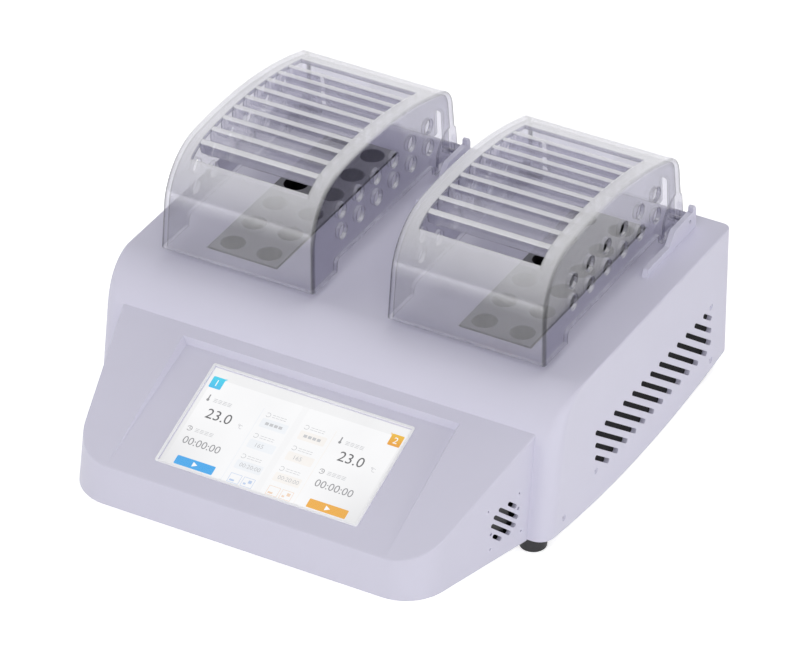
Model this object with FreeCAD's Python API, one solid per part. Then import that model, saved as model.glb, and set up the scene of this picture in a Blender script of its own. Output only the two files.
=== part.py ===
import FreeCAD, Part
import math
import os
from FreeCAD import Placement, Rotation, Vector

# Twin-zone chemical oxygen demand reactor: a bench heater with two drilled heating blocks, a clear cover
# over each, and a sloping console with a touch screen.
# Millimetres. X runs to the right, Y to the back, Z up, with z = 0 on the bench.
# While pieces are made, y = 0 is the front edge of the flat top. When they are written, the whole part is
# moved along Y so that the origin is at the bottom centre of its box.

# Main housing
body_width = 338.0
top_depth = 210.0
body_height = 97.0
foot_height = 11.0
wall = 3.5
front_lean = 9.5
front_roll_radius = 37.0
front_corner_radius = 11.0
back_corner_radius = 6.5
top_edge_round = 1.2
skirt_drop = 9.4
overrun = 5.0
touching = 0.000001

# Slanted vents in both sides of the housing
vent_front = 17.5
vent_back = 183.0
vent_low = 24.8
vent_high = 59.5
vent_pitch = 12.75
vent_slot_width = 3.4
vent_angle = 37.5
vent_slots = 15
vent_slots_before_corner = 2
vent_shortest_slot = 7.0

# Base tray
tray_sheet = 2.0
tray_gap = 0.3
tray_flange_height = 10.0
tray_flange_front = -32.0
tray_flange_back = 198.0

# Windows in the housing
console_window_inset = 27.0
console_window_height = 62.0
rear_window_inset = 9.0
rear_window_rise = 12.0
rear_window_drop = 11.0
rear_panel_sheet = 2.0
rear_panel_lap = 4.0
rear_panel_round = 3.0

# Screws that join the casing, all countersunk with the same head
screw_radius = 1.25
screw_head_radius = 2.3
screw_head_height = 1.3
screw_length = 9.0
screw_sink = 0.5
drive_share = 0.6
tray_screw_front_y = -25.0
tray_screw_front_z = 18.9
tray_screw_back_y = 183.5
tray_screw_back_z = 16.2
filter_screw_front_y = 18.8
filter_screw_front_z = 28.5
filter_screw_back_y = 181.5
filter_screw_back_z = 60.0
nut_radius = 2.9
nut_height = 2.0

# Foam filters behind the side vents
filter_thickness = 3.0
filter_front = 13.0
filter_back = 187.5
filter_top = 64.0

# Feet
foot_radius = 10.0
foot_taper = 1.0
foot_side_inset = 15.5
foot_front_y = -37.0
foot_back_y = 184.0
foot_well_radius = 5.5
foot_well_depth = 6.0
foot_edge_round = 1.0
foot_screw_radius = 2.0
foot_screw_head_radius = 4.0
foot_screw_head_height = 2.6
foot_screw_grip = 4.0

# Console
console_depth = 98.0
console_side_step = 14.7
console_side_taper = 26.8
console_tuck = 37.0
console_side_draft = 3.8
console_lean = 9.5
console_corner_radius = 32.5
console_bottom_round = 1.2
console_drop = 1.5
console_edge_round = 1.2
lip_height = 26.2
slope_angle = 23.8

# Recess for the display, cut into the slope and running out to nothing at its lower end
recess_start = 2.1
recess_width = 205.0
recess_length = 105.5
recess_tilt = 2.7
recess_wall_draft = 32.0
recess_cut_depth = 9.0
recess_floor = 3.2

# Display
screen_width = 146.0
screen_height = 79.0
screen_offset = 14.9
trim_width = 1.6
trim_height = 0.6
glass_thickness = 1.8
glass_proud = 0.3
display_gap = 0.15
module_width = 158.0
module_height = 92.0
module_depth = 6.0
display_board_width = 150.0
display_board_height = 84.0
board_thickness = 1.6
display_post_inset = 6.0

# Console vent group and the small fan behind it
console_vent_from_joint = 18.0
console_vent_rise = 23.3
console_vent_radius = 12.4
console_vent_slot_width = 3.0
console_vent_pitch = 5.7
console_vent_angle = 41.0
console_vent_reach = 2
console_fan_size = 34.0
console_fan_depth = 10.0
console_fan_bore_radius = 15.6
console_fan_hub_radius = 8.0
console_fan_spoke_width = 2.5
console_fan_web = 1.0
console_fan_end_gap = 0.75
console_fan_blade_thickness = 0.8
console_fan_shaft_radius = 0.75
console_fan_hub_wall = 0.75
console_fan_screw_spacing = 28.4
console_fan_corner_radius = 3.0
console_pilot_side = 12.7
console_pilot_rise = 3.5
console_pilot_radius = 1.1
small_screw_radius = 1.25
small_screw_head_radius = 2.2
small_screw_head_height = 1.4

# Heating blocks and their wells, for vials of 16 mm
block_shift = 9.3
block_width = 52.0
block_length = 161.0
block_height = 50.0
block_front = 19.0
block_proud = 1.0
block_gap = 0.8
well_radius = 8.25
well_pitch_x = 27.6
well_pitch_y = 27.35
well_columns = 2
well_rows = 6
well_chamfer = 0.5
heater_plate_thickness = 18.0
insulation = 10.0
insulation_top_gap = 0.5
pan_sheet = 1.5
pan_rim = 15.0
standoff_radius = 4.0
standoff_inset = 12.0

# Sensors in each block
probe_radius = 2.0
probe_reach = 20.0
probe_head_radius = 4.0
probe_head_length = 9.0
probe_drop = 39.0
cutout_radius = 8.0
cutout_depth = 6.0
cutout_drop = 30.0
tab_thickness = 1.0
tab_width = 6.0
tab_spacing = 8.0
tab_length = 9.0

# Covers
cover_offset_share = 0.5012
cover_width = 115.4
cover_lift = 5.8
cover_wall = 3.0
cover_side_draft = 2.0
cover_front_y = -3.6
cover_front_lean = 3.5
cover_back_y = 190.8
cover_back_lean = 4.5
cover_peak_y = 72.0
cover_peak_height = 79.2
cover_arch_radius = 330.0
cover_front_round = 42.0
cover_back_round = 16.0
cover_edge_round = 2.6
grille_front = 14.5
grille_back = 158.0
grille_width = 88.0
slat_count = 9
slat_width = 4.5
slat_depth = 10.5
slat_round = 1.2
slat_bite = 1.0
slat_sink = 0.3
side_hole_radius = 5.4
side_hole_columns = 6
side_hole_pitch = 23.15
side_hole_first_y = 37.3
side_hole_rows = 2
side_hole_row_gap = 15.9
side_hole_low = 31.6
notch_front = 27.0
notch_back = 160.5
notch_rise = 8.5
notch_slant = 1.4
notch_round = 4.0
back_slot_from_middle = 42.3
back_slot_width = 5.0
back_slot_top = 39.5
back_flap_low = 16.0
back_flap_round = 3.0

# Cover hinges
pivot_y = 189.0
pivot_height = 8.6
pin_radius = 1.5
pin_running_gap = 0.05
pin_recess = 0.6
pin_reach = 0.5
lug_radius = 5.5
doubler_radius = 20.0
doubler_thickness = 2.0
bracket_gap = 2.1
bracket_thickness = 3.7
bracket_front = 126.4
bracket_back = 197.3
bracket_rail_height = 5.3
bracket_front_slant = 2.4
bracket_riser_front = 159.5
bracket_riser_back = 166.5
bracket_height = 14.0
bracket_nub_front = 192.6
bracket_nub_width = 3.0
bracket_nub_height = 17.6
bracket_round = 1.2
bracket_riser_round = 4.0
bracket_screw_front_y = 138.0
bracket_screw_back_y = 176.0
bracket_screw_grip = 4.0

# Rear fan
fan_size = 70.0
fan_depth = 25.0
fan_bore_radius = 32.8
fan_hub_radius = 15.0
fan_tip_gap = 1.0
fan_corner_radius = 4.0
fan_screw_spacing = 60.0
fan_blades = 7
fan_blade_thickness = 1.6
fan_blade_pitch = 38.0
fan_web = 2.0
fan_spokes = 4
fan_spoke_width = 5.0
fan_end_gap = 1.5
fan_shaft_radius = 1.5
fan_hub_wall = 1.5
grille_slot_width = 4.0
grille_slot_pitch = 7.2
grille_rows_each_way = 4

# Mains inlet with its fuse drawer
inlet_inset = 25.0
inlet_flange_width = 28.0
inlet_flange_height = 50.0
inlet_flange_thickness = 2.0
inlet_body_width = 21.0
inlet_body_height = 44.0
inlet_body_depth = 22.0
inlet_round = 2.5
socket_width = 16.5
socket_height = 24.0
socket_depth = 17.0
socket_rise = 7.6
socket_chamfer = 4.5
contact_length = 12.0
contact_thickness = 2.0
contact_width = 4.0
contact_spacing = 7.0
contact_step = 4.5
contact_root = 3.0
drawer_width = 16.0
drawer_height = 8.0
drawer_depth = 18.0
drawer_drop = 15.0
drawer_gap = 0.3
drawer_face_proud = 1.0
drawer_face_lap = 1.0
drawer_grip = 1.2
fuse_radius = 2.5

# Mains switch
switch_inset = 25.0
switch_frame_width = 22.0
switch_frame_height = 30.0
switch_body_width = 18.4
switch_body_height = 26.0
switch_body_depth = 18.0
switch_wall = 1.6
switch_bezel_thickness = 1.0
rocker_gap = 0.35
rocker_radius = 26.0
rocker_thickness = 7.0
rocker_axle_radius = 1.4
rocker_tilt = 7.0

# Electronics on the tray
supply_width = 98.0
supply_length = 104.0
supply_height = 30.0
supply_front = 62.0
supply_lip = 3.0
supply_sheet = 1.2
supply_slots = 6
supply_slot_inset = 20.0
relay_width = 44.0
relay_length = 58.0
relay_height = 23.0
relay_front = -6.0
relay_offset = 28.0
relay_base = 5.0
relay_post_radius = 3.0
relay_post_height = 4.0
terminal_inset = 22.0
terminal_front = 60.0
terminal_width = 16.0
terminal_length = 72.0
terminal_height = 15.0
terminal_ways = 8
terminal_screw_radius = 2.4
terminal_screw_depth = 1.2
board_width = 130.0
board_length = 60.0
board_front = -108.0
board_post_length = 6.0
board_post_radius = 3.0
board_post_inset = 5.0
chip_height = 3.0
chip_size = 16.0
connector_height = 8.0
connector_width = 30.0
connector_depth = 7.0
connector_offset = 32.5
chip_shares = [-0.34, -0.06, 0.22]

# Joining the console to the housing
console_tab_thickness = 3.0
console_tab_height = 14.0
console_tab_rise = 40.0
console_tab_overlap = 9.0

z_bottom = foot_height
z_top = foot_height + body_height
z_tray = z_bottom + tray_sheet
half_body = body_width / 2
console_window_width = body_width - 2 * console_window_inset
console_back_width = body_width - 2 * console_side_step
cover_offset = half_body * cover_offset_share
block_offset = cover_offset + block_shift
rear_window_width = body_width - 2 * rear_window_inset
rear_window_low = z_bottom + rear_window_rise
rear_window_high = z_top - rear_window_drop
inlet_x = inlet_inset - half_body
inlet_centre_z = (rear_window_low + rear_window_high) / 2
switch_x = half_body - switch_inset
switch_centre_z = inlet_centre_z
fan_centre_z = (z_tray + z_top - wall) / 2
terminal_x = half_body - terminal_inset
lean_rise = math.tan(math.radians(front_lean))
roll_overhang = front_roll_radius * math.tan(math.radians(90 - front_lean) / 2)
front_bottom_y = -roll_overhang - body_height * lean_rise
console_front_y = front_bottom_y - console_depth
y_middle = (console_front_y + top_depth) / 2
inner_back_y = top_depth - wall
panel_front_y = inner_back_y - rear_panel_sheet
x_axis = Vector(1, 0, 0)
y_axis = Vector(0, 1, 0)
z_axis = Vector(0, 0, 1)


def save(name, *solids):
    """Write one node, moved so that the part's origin is at its bottom centre."""
    shape = solids[0] if len(solids) == 1 else Part.makeCompound(list(solids))
    shape = shape.copy()
    shape.translate(Vector(0, -y_middle, 0))
    shape.exportStep("parts/" + name + ".step")


def box(x0, x1, y0, y1, z0, z1):
    """Box between two corners."""
    return Part.makeBox(x1 - x0, y1 - y0, z1 - z0, Vector(x0, y0, z0))


def rod(radius, start, end):
    """Round bar between two points."""
    line = end - start
    return Part.makeCylinder(radius, line.Length, start, line)


def fused(shapes):
    """All the shapes as one solid."""
    whole = shapes[0]
    if len(shapes) > 1:
        whole = whole.multiFuse(shapes[1:])
    return whole.removeSplitter()


def mirrored(shape):
    """The shape on the other side of the middle plane."""
    return shape.mirror(Vector(0, 0, 0), x_axis)


def moved(shape, offset):
    """A copy of the shape, moved."""
    copy = shape.copy()
    copy.translate(offset)
    return copy


def rounded_wire(corners, radii):
    """Closed wire through the corners, each rounded by its own radius."""
    count = len(corners)
    starts = []
    middles = []
    ends = []
    for i, corner in enumerate(corners):
        back = (corners[i - 1] - corner).normalize()
        ahead = (corners[(i + 1) % count] - corner).normalize()
        half = back.getAngle(ahead) / 2
        bisector = (back + ahead).normalize()
        reach = radii[i] / math.tan(half)
        centre = corner + bisector * (radii[i] / math.sin(half))
        starts.append(corner + back * reach)
        middles.append(centre - bisector * radii[i])
        ends.append(corner + ahead * reach)
    edges = []
    for i in range(count):
        if radii[i] > 0:
            edges.append(Part.Arc(starts[i], middles[i], ends[i]).toShape())
        following = starts[(i + 1) % count]
        if (following - ends[i]).Length > touching:
            edges.append(Part.LineSegment(ends[i], following).toShape())
    return Part.Wire(edges)


def prism(corners, radii, along):
    """Solid swept along a vector from a rounded outline."""
    return Part.Face(rounded_wire(corners, radii)).extrude(along)


def plate(x0, x1, y0, y1, z0, z1, radius):
    """Flat plate in the XY plane with four rounded corners."""
    corners = [Vector(x0, y0, z0), Vector(x1, y0, z0), Vector(x1, y1, z0), Vector(x0, y1, z0)]
    return prism(corners, [radius] * 4, Vector(0, 0, z1 - z0))


def upright_plate(x0, x1, z0, z1, y0, y1, radius):
    """Flat plate in the XZ plane with four rounded corners."""
    corners = [Vector(x0, y0, z0), Vector(x1, y0, z0), Vector(x1, y0, z1), Vector(x0, y0, z1)]
    return prism(corners, [radius] * 4, Vector(0, y1 - y0, 0))


def slot_prism(start, end, width, along):
    """Straight slot with round ends, swept along a vector. Start and end are its tips."""
    line = (end - start).normalize()
    side = line.cross(along).normalize() * (width / 2)
    first = start + line * (width / 2)
    last = end - line * (width / 2)
    edges = [
        Part.LineSegment(first + side, last + side).toShape(),
        Part.Arc(last + side, end, last - side).toShape(),
        Part.LineSegment(last - side, first - side).toShape(),
        Part.Arc(first - side, start, first + side).toShape(),
    ]
    return Part.Face(Part.Wire(edges)).extrude(along)


def countersunk_screw(tip_side, head_face, radius, head_radius, head_height, length):
    """Countersunk screw whose head is flush at head_face. tip_side points along the shank."""
    line = Vector(tip_side).normalize()
    head = Part.makeCone(head_radius, radius, head_height, head_face, line)
    shank = Part.makeCylinder(radius, length, head_face, line)
    drive = Part.makeCylinder(radius * drive_share, head_height * drive_share, head_face, line)
    return head.fuse(shank).removeSplitter().cut(drive)


def countersink(tip_side, head_face, radius, head_radius, head_height, length):
    """The hole that a countersunk screw fills, with the short bore above its head."""
    line = Vector(tip_side).normalize()
    head = Part.makeCone(head_radius, radius, head_height, head_face, line)
    bore = Part.makeCylinder(head_radius, screw_sink, head_face, line * -1)
    return head.multiFuse([bore, Part.makeCylinder(radius, length, head_face, line)])


def pan_head_screw(tip_side, seat, radius, head_radius, head_height, length):
    """Screw whose flat-bottomed head stands on the seat."""
    line = Vector(tip_side).normalize()
    head = Part.makeCylinder(head_radius, head_height, seat, line * -1)
    shank = Part.makeCylinder(radius, length, seat, line)
    top = seat - line * head_height
    drive = Part.makeCylinder(radius * drive_share, head_height * drive_share, top, line)
    return head.fuse(shank).removeSplitter().cut(drive)


# Main housing

def front_face_y(z, inset):
    """Y of the leaning front face at a height."""
    return -roll_overhang - (z_top - z) * lean_rise + inset / math.cos(math.radians(front_lean))


def housing_solid(inset, low):
    """The housing's outer form, or its form inset by a wall, down to a level."""
    high = z_top - inset
    half = half_body - inset
    back = top_depth - inset
    corners = [
        Vector(-half, front_face_y(low, inset), low),
        Vector(-half, front_face_y(high, inset), high),
        Vector(-half, back, high),
        Vector(-half, back, low),
    ]
    solid = prism(corners, [0, front_roll_radius - inset, 0, 0], x_axis * (2 * half))
    rolls = [edge for edge in solid.Edges if edge.Curve.TypeId == "Part::GeomCircle"]
    solid = solid.makeFillet(front_corner_radius - inset, top_edge_round, rolls)
    front = front_face_y(low, inset)
    radius = back_corner_radius - inset if inset < back_corner_radius else touching
    plan = [
        Vector(-half, front, low),
        Vector(half, front, low),
        Vector(half, back, low),
        Vector(-half, back, low),
    ]
    upright = prism(plan, [0, 0, radius, radius], Vector(0, 0, high - low))
    return solid.common(upright).removeSplitter()


def side_skirt(side):
    """The part of a side wall that bows down below the tray."""
    x = side * half_body
    front = front_bottom_y + front_corner_radius
    back = top_depth - back_corner_radius
    start = Vector(x, front, z_bottom)
    lowest = Vector(x, (front + back) / 2, z_bottom - skirt_drop)
    end = Vector(x, back, z_bottom)
    bow = Part.Wire([Part.Arc(start, lowest, end).toShape(), Part.LineSegment(end, start).toShape()])
    return Part.Face(bow).extrude(x_axis * (-side * wall))


def side_vents(side):
    """Fifteen slanted slots that fill a rectangle of the side wall."""
    rise = math.tan(math.radians(vent_angle))
    start_x = side * (half_body + overrun)
    along = x_axis * (-side * (wall + 2 * overrun))
    slots = []
    for i in range(vent_slots):
        y = vent_front + (i - vent_slots_before_corner) * vent_pitch
        y_start = max(y, vent_front)
        z_start = vent_high - (y_start - y) * rise
        y_end = min(y + (vent_high - vent_low) / rise, vent_back)
        z_end = vent_high - (y_end - y) * rise
        start = Vector(start_x, y_start, z_start)
        end = Vector(start_x, y_end, z_end)
        if (end - start).Length > vent_shortest_slot:
            slots.append(slot_prism(start, end, vent_slot_width, along))
    return slots


def side_screw_places():
    """Y and Z of the four screws on each side of the housing."""
    return [
        (tray_screw_front_y, tray_screw_front_z),
        (tray_screw_back_y, tray_screw_back_z),
        (filter_screw_front_y, filter_screw_front_z),
        (filter_screw_back_y, filter_screw_back_z),
    ]


def side_screw_head(side, y, z):
    """Middle of a side screw's head, sunk a little into the wall."""
    return Vector(side * (half_body - screw_sink), y, z)


def rear_screw_places():
    """X and Z of the screws that hold the rear panel."""
    half = rear_window_width / 2 - rear_panel_lap
    high = (rear_window_high + z_top - wall) / 2
    low = (rear_window_low + z_bottom) / 2
    return [(-half, high), (0, high), (half, high), (-half, low), (0, low), (half, low)]


def bracket_screw_places():
    """X and Y of the screws that come up into the hinge brackets."""
    reach = cover_width / 2 + bracket_gap + bracket_thickness / 2
    places = []
    for zone in (-1, 1):
        for side in (-1, 1):
            for y in (bracket_screw_front_y, bracket_screw_back_y):
                places.append((zone * cover_offset + side * reach, y))
    return places


def make_main_housing():
    shell = housing_solid(0, z_bottom).cut(housing_solid(wall, z_bottom - overrun))
    shell = fused([shell, side_skirt(1), side_skirt(-1)])
    cuts = []
    for zone in (-1, 1):
        x = zone * block_offset
        half = block_width / 2 + block_gap
        y0 = block_front - block_gap
        y1 = block_front + block_length + block_gap
        cuts.append(box(x - half, x + half, y0, y1, z_top - wall - overrun, z_top + overrun))
    half = console_window_width / 2
    window_top = z_bottom + console_window_height
    cuts.append(box(-half, half, front_bottom_y - overrun, 0, z_bottom - overrun, window_top))
    half = rear_window_width / 2
    cuts.append(box(-half, half, inner_back_y - overrun, top_depth + overrun,
                    rear_window_low, rear_window_high))
    for side in (-1, 1):
        cuts.extend(side_vents(side))
        for y, z in side_screw_places():
            cuts.append(countersink(x_axis * -side, side_screw_head(side, y, z), screw_radius,
                                    screw_head_radius, screw_head_height, wall + overrun))
        cuts.append(console_screw_hole(side))
    for x, z in rear_screw_places():
        cuts.append(countersink(y_axis * -1, Vector(x, top_depth - screw_sink, z), screw_radius,
                                screw_head_radius, screw_head_height, wall + overrun))
    for x, y in bracket_screw_places():
        cuts.append(rod(screw_radius, Vector(x, y, z_top - wall - overrun), Vector(x, y, z_top + overrun)))
    return shell.cut(Part.makeCompound(cuts)).removeSplitter()


def make_base_tray():
    """Flat sheet under the housing and the console, with a flange up each side."""
    inset = wall + tray_gap
    sheet = box(-body_width, body_width, -body_width, body_width, z_bottom, z_tray)
    body = housing_solid(inset, z_bottom).common(sheet)
    console = console_solid(inset, 0).common(sheet).cut(housing_solid(-tray_gap, z_bottom - overrun))
    half = console_window_width / 2 - tray_gap
    bridge = box(-half, half, front_bottom_y - wall, front_bottom_y + 2 * wall, z_bottom, z_tray)
    pieces = [body, console, bridge]
    outer = half_body - inset
    for side in (-1, 1):
        x0, x1 = sorted((side * outer, side * (outer - tray_sheet)))
        pieces.append(box(x0, x1, tray_flange_front, tray_flange_back, z_tray, z_tray + tray_flange_height))
    tray = fused(pieces)
    holes = []
    for side in (-1, 1):
        for y, z in side_screw_places()[:2]:
            start = Vector(side * half_body, y, z)
            holes.append(rod(screw_radius, start, start - x_axis * (side * screw_length)))
    for x, y in foot_places():
        holes.append(rod(foot_screw_radius, Vector(x, y, 0), Vector(x, y, z_tray + overrun)))
    return tray.cut(Part.makeCompound(holes))


def make_side_screws():
    screws = []
    for side in (-1, 1):
        for y, z in side_screw_places():
            screws.append(countersunk_screw(x_axis * -side, side_screw_head(side, y, z), screw_radius,
                                            screw_head_radius, screw_head_height, screw_length))
    return screws


def make_vent_filter(side):
    """Foam pad flat against the inner face of a side wall, with holes for its two screws."""
    outer = half_body - wall
    x0, x1 = sorted((side * outer, side * (outer - filter_thickness)))
    low = z_tray + tray_flange_height + tray_gap
    pad = box(x0, x1, filter_front, filter_back, low, filter_top)
    for y, z in side_screw_places()[2:]:
        start = Vector(side * half_body, y, z)
        pad = pad.cut(rod(screw_radius, start, start - x_axis * (side * screw_length)))
    return pad


def make_filter_nuts():
    """Square nuts on the screws that hold the foam pads."""
    nuts = []
    for side in (-1, 1):
        inner = half_body - wall - filter_thickness
        x0, x1 = sorted((side * inner, side * (inner - nut_height)))
        for y, z in side_screw_places()[2:]:
            nut = box(x0, x1, y - nut_radius, y + nut_radius, z - nut_radius, z + nut_radius)
            start = Vector(side * half_body, y, z)
            nuts.append(nut.cut(rod(screw_radius, start, start - x_axis * (side * screw_length))))
    return nuts


# Feet

def foot_places():
    """X and Y of the four feet."""
    x = half_body - foot_side_inset
    return [(-x, foot_front_y), (x, foot_front_y), (-x, foot_back_y), (x, foot_back_y)]


def make_foot(x, y):
    """Tapered rubber foot with a well for its screw, open at the bottom."""
    foot = Part.makeCone(foot_radius - foot_taper, foot_radius, foot_height, Vector(x, y, 0))
    bottom = [edge for edge in foot.Edges if edge.BoundBox.ZMax < touching]
    foot = foot.makeFillet(foot_edge_round, bottom)
    foot = foot.cut(rod(foot_well_radius, Vector(x, y, -overrun), Vector(x, y, foot_well_depth)))
    return foot.cut(rod(foot_screw_radius, Vector(x, y, 0), Vector(x, y, foot_height)))


def make_foot_screws():
    screws = []
    length = foot_height - foot_well_depth + tray_sheet + foot_screw_grip
    for x, y in foot_places():
        screws.append(pan_head_screw(z_axis, Vector(x, y, foot_well_depth), foot_screw_radius,
                                     foot_screw_head_radius, foot_screw_head_height, length))
    return screws


# Console

def console_outline(level, inset):
    """Plan outline of the console at a height above its bottom."""
    taper = console_side_taper / console_depth
    shrink = level * math.tan(math.radians(console_side_draft)) + inset * math.hypot(1, taper)
    front = console_front_y + level * math.tan(math.radians(console_lean))
    front += inset / math.cos(math.radians(console_lean))
    back = front_bottom_y + console_tuck
    half_back = console_back_width / 2 + taper * (back - front_bottom_y) - shrink
    half_front = console_back_width / 2 + taper * (front - front_bottom_y) - shrink
    z = z_bottom + level
    corners = [
        Vector(-half_back, back, z),
        Vector(-half_front, front, z),
        Vector(half_front, front, z),
        Vector(half_back, back, z),
    ]
    radius = console_corner_radius - inset
    return rounded_wire(corners, [0, radius, radius, 0])


def slope_point(level_from_lip):
    """Point on the middle of the slope, at a distance up from the lip's edge."""
    angle = math.radians(slope_angle)
    lip_y = console_front_y + lip_height * math.tan(math.radians(console_lean))
    y = lip_y + level_from_lip * math.cos(angle)
    z = z_bottom + lip_height + level_from_lip * math.sin(angle)
    return Vector(0, y, z)


def tilted(shape, angle, origin):
    """Shape made flat, with y up the slope and z out of it, placed on a slope at origin."""
    copy = shape.copy()
    copy.Placement = Placement(origin, Rotation(x_axis, angle)).multiply(copy.Placement)
    return copy


def above_slope(inset):
    """Everything above the slope, or above the slope's inner face."""
    reach = body_width
    block = box(-reach, reach, -reach, reach, -inset, reach)
    return tilted(block, slope_angle, slope_point(0))


def console_solid(inset, low_level):
    """The console's outer form, or its form inset by a wall, without the display recess."""
    wires = [console_outline(low_level, inset), console_outline(body_height, inset)]
    solid = Part.makeLoft(wires, True, True)
    return solid.cut(above_slope(inset))


def rounded_console(solid):
    """The console with its bottom edge and the edge of its slope rounded at the front and sides."""
    bottom = []
    rim = []
    for edge in solid.Edges:
        bound = edge.BoundBox
        if bound.YMin > front_bottom_y:
            continue
        if bound.ZMax < z_bottom:
            bottom.append(edge)
        elif bound.ZMin > z_bottom + lip_height - console_edge_round:
            rim.append(edge)
    return solid.makeFillet(console_bottom_round, bottom).makeFillet(console_edge_round, rim)


def floor_angle():
    return slope_angle - recess_tilt


def floor_origin():
    """Middle of the line where the recess floor runs out into the slope."""
    return slope_point(recess_start)


def make_recess():
    """Wedge cut out of the slope: drafted walls, with a floor a little flatter than the slope."""
    half = recess_width / 2
    drawn = recess_cut_depth * math.tan(math.radians(recess_wall_draft))
    top = [
        Vector(-half, 0, 0),
        Vector(half, 0, 0),
        Vector(half, recess_length, 0),
        Vector(-half, recess_length, 0),
    ]
    deep = [
        Vector(-half + drawn, 0, -recess_cut_depth),
        Vector(half - drawn, 0, -recess_cut_depth),
        Vector(half - drawn, recess_length - drawn, -recess_cut_depth),
        Vector(-half + drawn, recess_length - drawn, -recess_cut_depth),
    ]
    wires = [Part.makePolygon(points + points[:1]) for points in (deep, top)]
    hollow = Part.makeLoft(wires, True, True)
    mouth = box(-half, half, 0, recess_length, 0, overrun)
    hollow = tilted(hollow.fuse(mouth), slope_angle, floor_origin())
    reach = body_width
    above_floor = tilted(box(-reach, reach, -reach, reach, 0, reach), floor_angle(), floor_origin())
    return hollow.common(above_floor)


def recess_backing():
    """The part of the console's inside that stays solid behind the recess."""
    half = recess_width / 2 + recess_floor
    block = box(-half, half, -recess_floor, recess_length + recess_floor, -recess_floor, overrun + wall)
    return tilted(block, floor_angle(), floor_origin())


def console_vent_frame():
    """Placement on the right side of the console: x to the back, y up the wall, z outward."""
    taper = console_side_taper / console_depth
    draft = math.tan(math.radians(console_side_draft))
    backward = Vector(taper, 1, 0).normalize()
    outward = backward.cross(Vector(-draft, 0, 1)).normalize()
    x = console_back_width / 2 - taper * console_vent_from_joint - draft * console_vent_rise
    origin = Vector(x, front_bottom_y - console_vent_from_joint, z_bottom + console_vent_rise)
    return Placement(origin, Rotation(backward, outward.cross(backward), outward, "XYZ"))


def on_console_side(shape, side):
    """Shape made flat, placed on a console side. The left side is the right side mirrored."""
    copy = shape.copy()
    copy.Placement = console_vent_frame().multiply(copy.Placement)
    return copy if side > 0 else mirrored(copy)


def console_vent_slots():
    """Five slots in a round group, made flat, cut through the wall."""
    angle = math.radians(console_vent_angle)
    line = Vector(math.cos(angle), -math.sin(angle), 0)
    across = Vector(math.sin(angle), math.cos(angle), 0)
    along = Vector(0, 0, -2 * overrun)
    slots = []
    for row in range(-console_vent_reach, console_vent_reach + 1):
        offset = row * console_vent_pitch
        half = math.sqrt(console_vent_radius ** 2 - offset ** 2)
        middle = across * offset + Vector(0, 0, overrun)
        slots.append(slot_prism(middle - line * half, middle + line * half, console_vent_slot_width, along))
    return slots


def console_fan_screw_spots():
    half = console_fan_screw_spacing / 2
    return [(x, y) for x in (-half, half) for y in (-half, half)]


def console_pilot_holes():
    """Two small blind holes beside the slots."""
    holes = []
    for sign in (-1, 1):
        x = sign * console_pilot_side
        y = sign * console_pilot_rise
        holes.append(rod(console_pilot_radius, Vector(x, y, -wall / 2), Vector(x, y, overrun)))
    return holes


def console_screw_line(side):
    """Start and end of the screw that holds a console tab to the housing's front wall."""
    x = side * (console_window_width / 2 + console_tab_overlap / 2)
    z = z_bottom + console_tab_rise + console_tab_height / 2
    lean = math.radians(front_lean)
    return Vector(x, front_face_y(z, 0), z), Vector(0, math.cos(lean), -math.sin(lean))


def console_screw_hole(side):
    seat, line = console_screw_line(side)
    return rod(screw_radius, seat - line * overrun, seat + line * (wall + overrun))


def console_tab(side):
    """Ear inside the console wall that lies flat on the housing's front face."""
    inner = console_window_width / 2
    outer = console_back_width / 2
    x0, x1 = sorted((side * inner, side * outer))
    z0 = z_bottom + console_tab_rise
    z1 = z0 + console_tab_height
    corners = [
        Vector(x0, front_face_y(z0, 0) - console_tab_thickness, z0),
        Vector(x0, front_face_y(z0, 0), z0),
        Vector(x0, front_face_y(z1, 0), z1),
        Vector(x0, front_face_y(z1, 0) - console_tab_thickness, z1),
    ]
    block = prism(corners, [0] * 4, x_axis * (x1 - x0))
    return block.common(console_solid(wall / 2, 0))


def make_console_shell():
    """Sloping shell, open at the back and underneath, with the display recess in its slope."""
    outer = rounded_console(console_solid(0, -console_drop)).cut(make_recess())
    outer = outer.cut(housing_solid(0, z_bottom - overrun))
    inner = console_solid(wall, -overrun).cut(recess_backing())
    shell = outer.cut(inner).multiFuse([console_tab(1), console_tab(-1)])
    cuts = [console_screw_hole(side) for side in (-1, 1)]
    half = screen_width / 2
    aperture = box(-half, half, screen_offset, screen_offset + screen_height, -2 * recess_floor, overrun)
    cuts.append(tilted(aperture, floor_angle(), floor_origin()))
    for side in (-1, 1):
        for slot in console_vent_slots() + console_pilot_holes():
            cuts.append(on_console_side(slot, side))
    for x, y in console_fan_screw_spots():
        hole = countersink(z_axis * -1, Vector(x, y, 0), small_screw_radius,
                           small_screw_head_radius, small_screw_head_height, wall + overrun)
        cuts.append(on_console_side(hole, 1))
    return shell.cut(Part.makeCompound(cuts))


def make_console_screws():
    """Screws through the housing's front wall into the console's ears, put in from inside."""
    screws = []
    for side in (-1, 1):
        seat, line = console_screw_line(side)
        inside = seat + line * wall
        screws.append(pan_head_screw(line * -1, inside, screw_radius, screw_head_radius,
                                     screw_head_height, wall + console_tab_thickness))
    return screws


# Display, made flat on the recess floor and tilted with it

def on_floor(shape):
    return tilted(shape, floor_angle(), floor_origin())


def make_display_trim():
    """Thin rim around the glass, standing on the recess floor."""
    half = screen_width / 2
    y0 = screen_offset
    y1 = screen_offset + screen_height
    outer = plate(-half - trim_width, half + trim_width, y0 - trim_width, y1 + trim_width,
                  0, trim_height, trim_width)
    return on_floor(outer.cut(box(-half, half, y0, y1, -overrun, overrun)))


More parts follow.
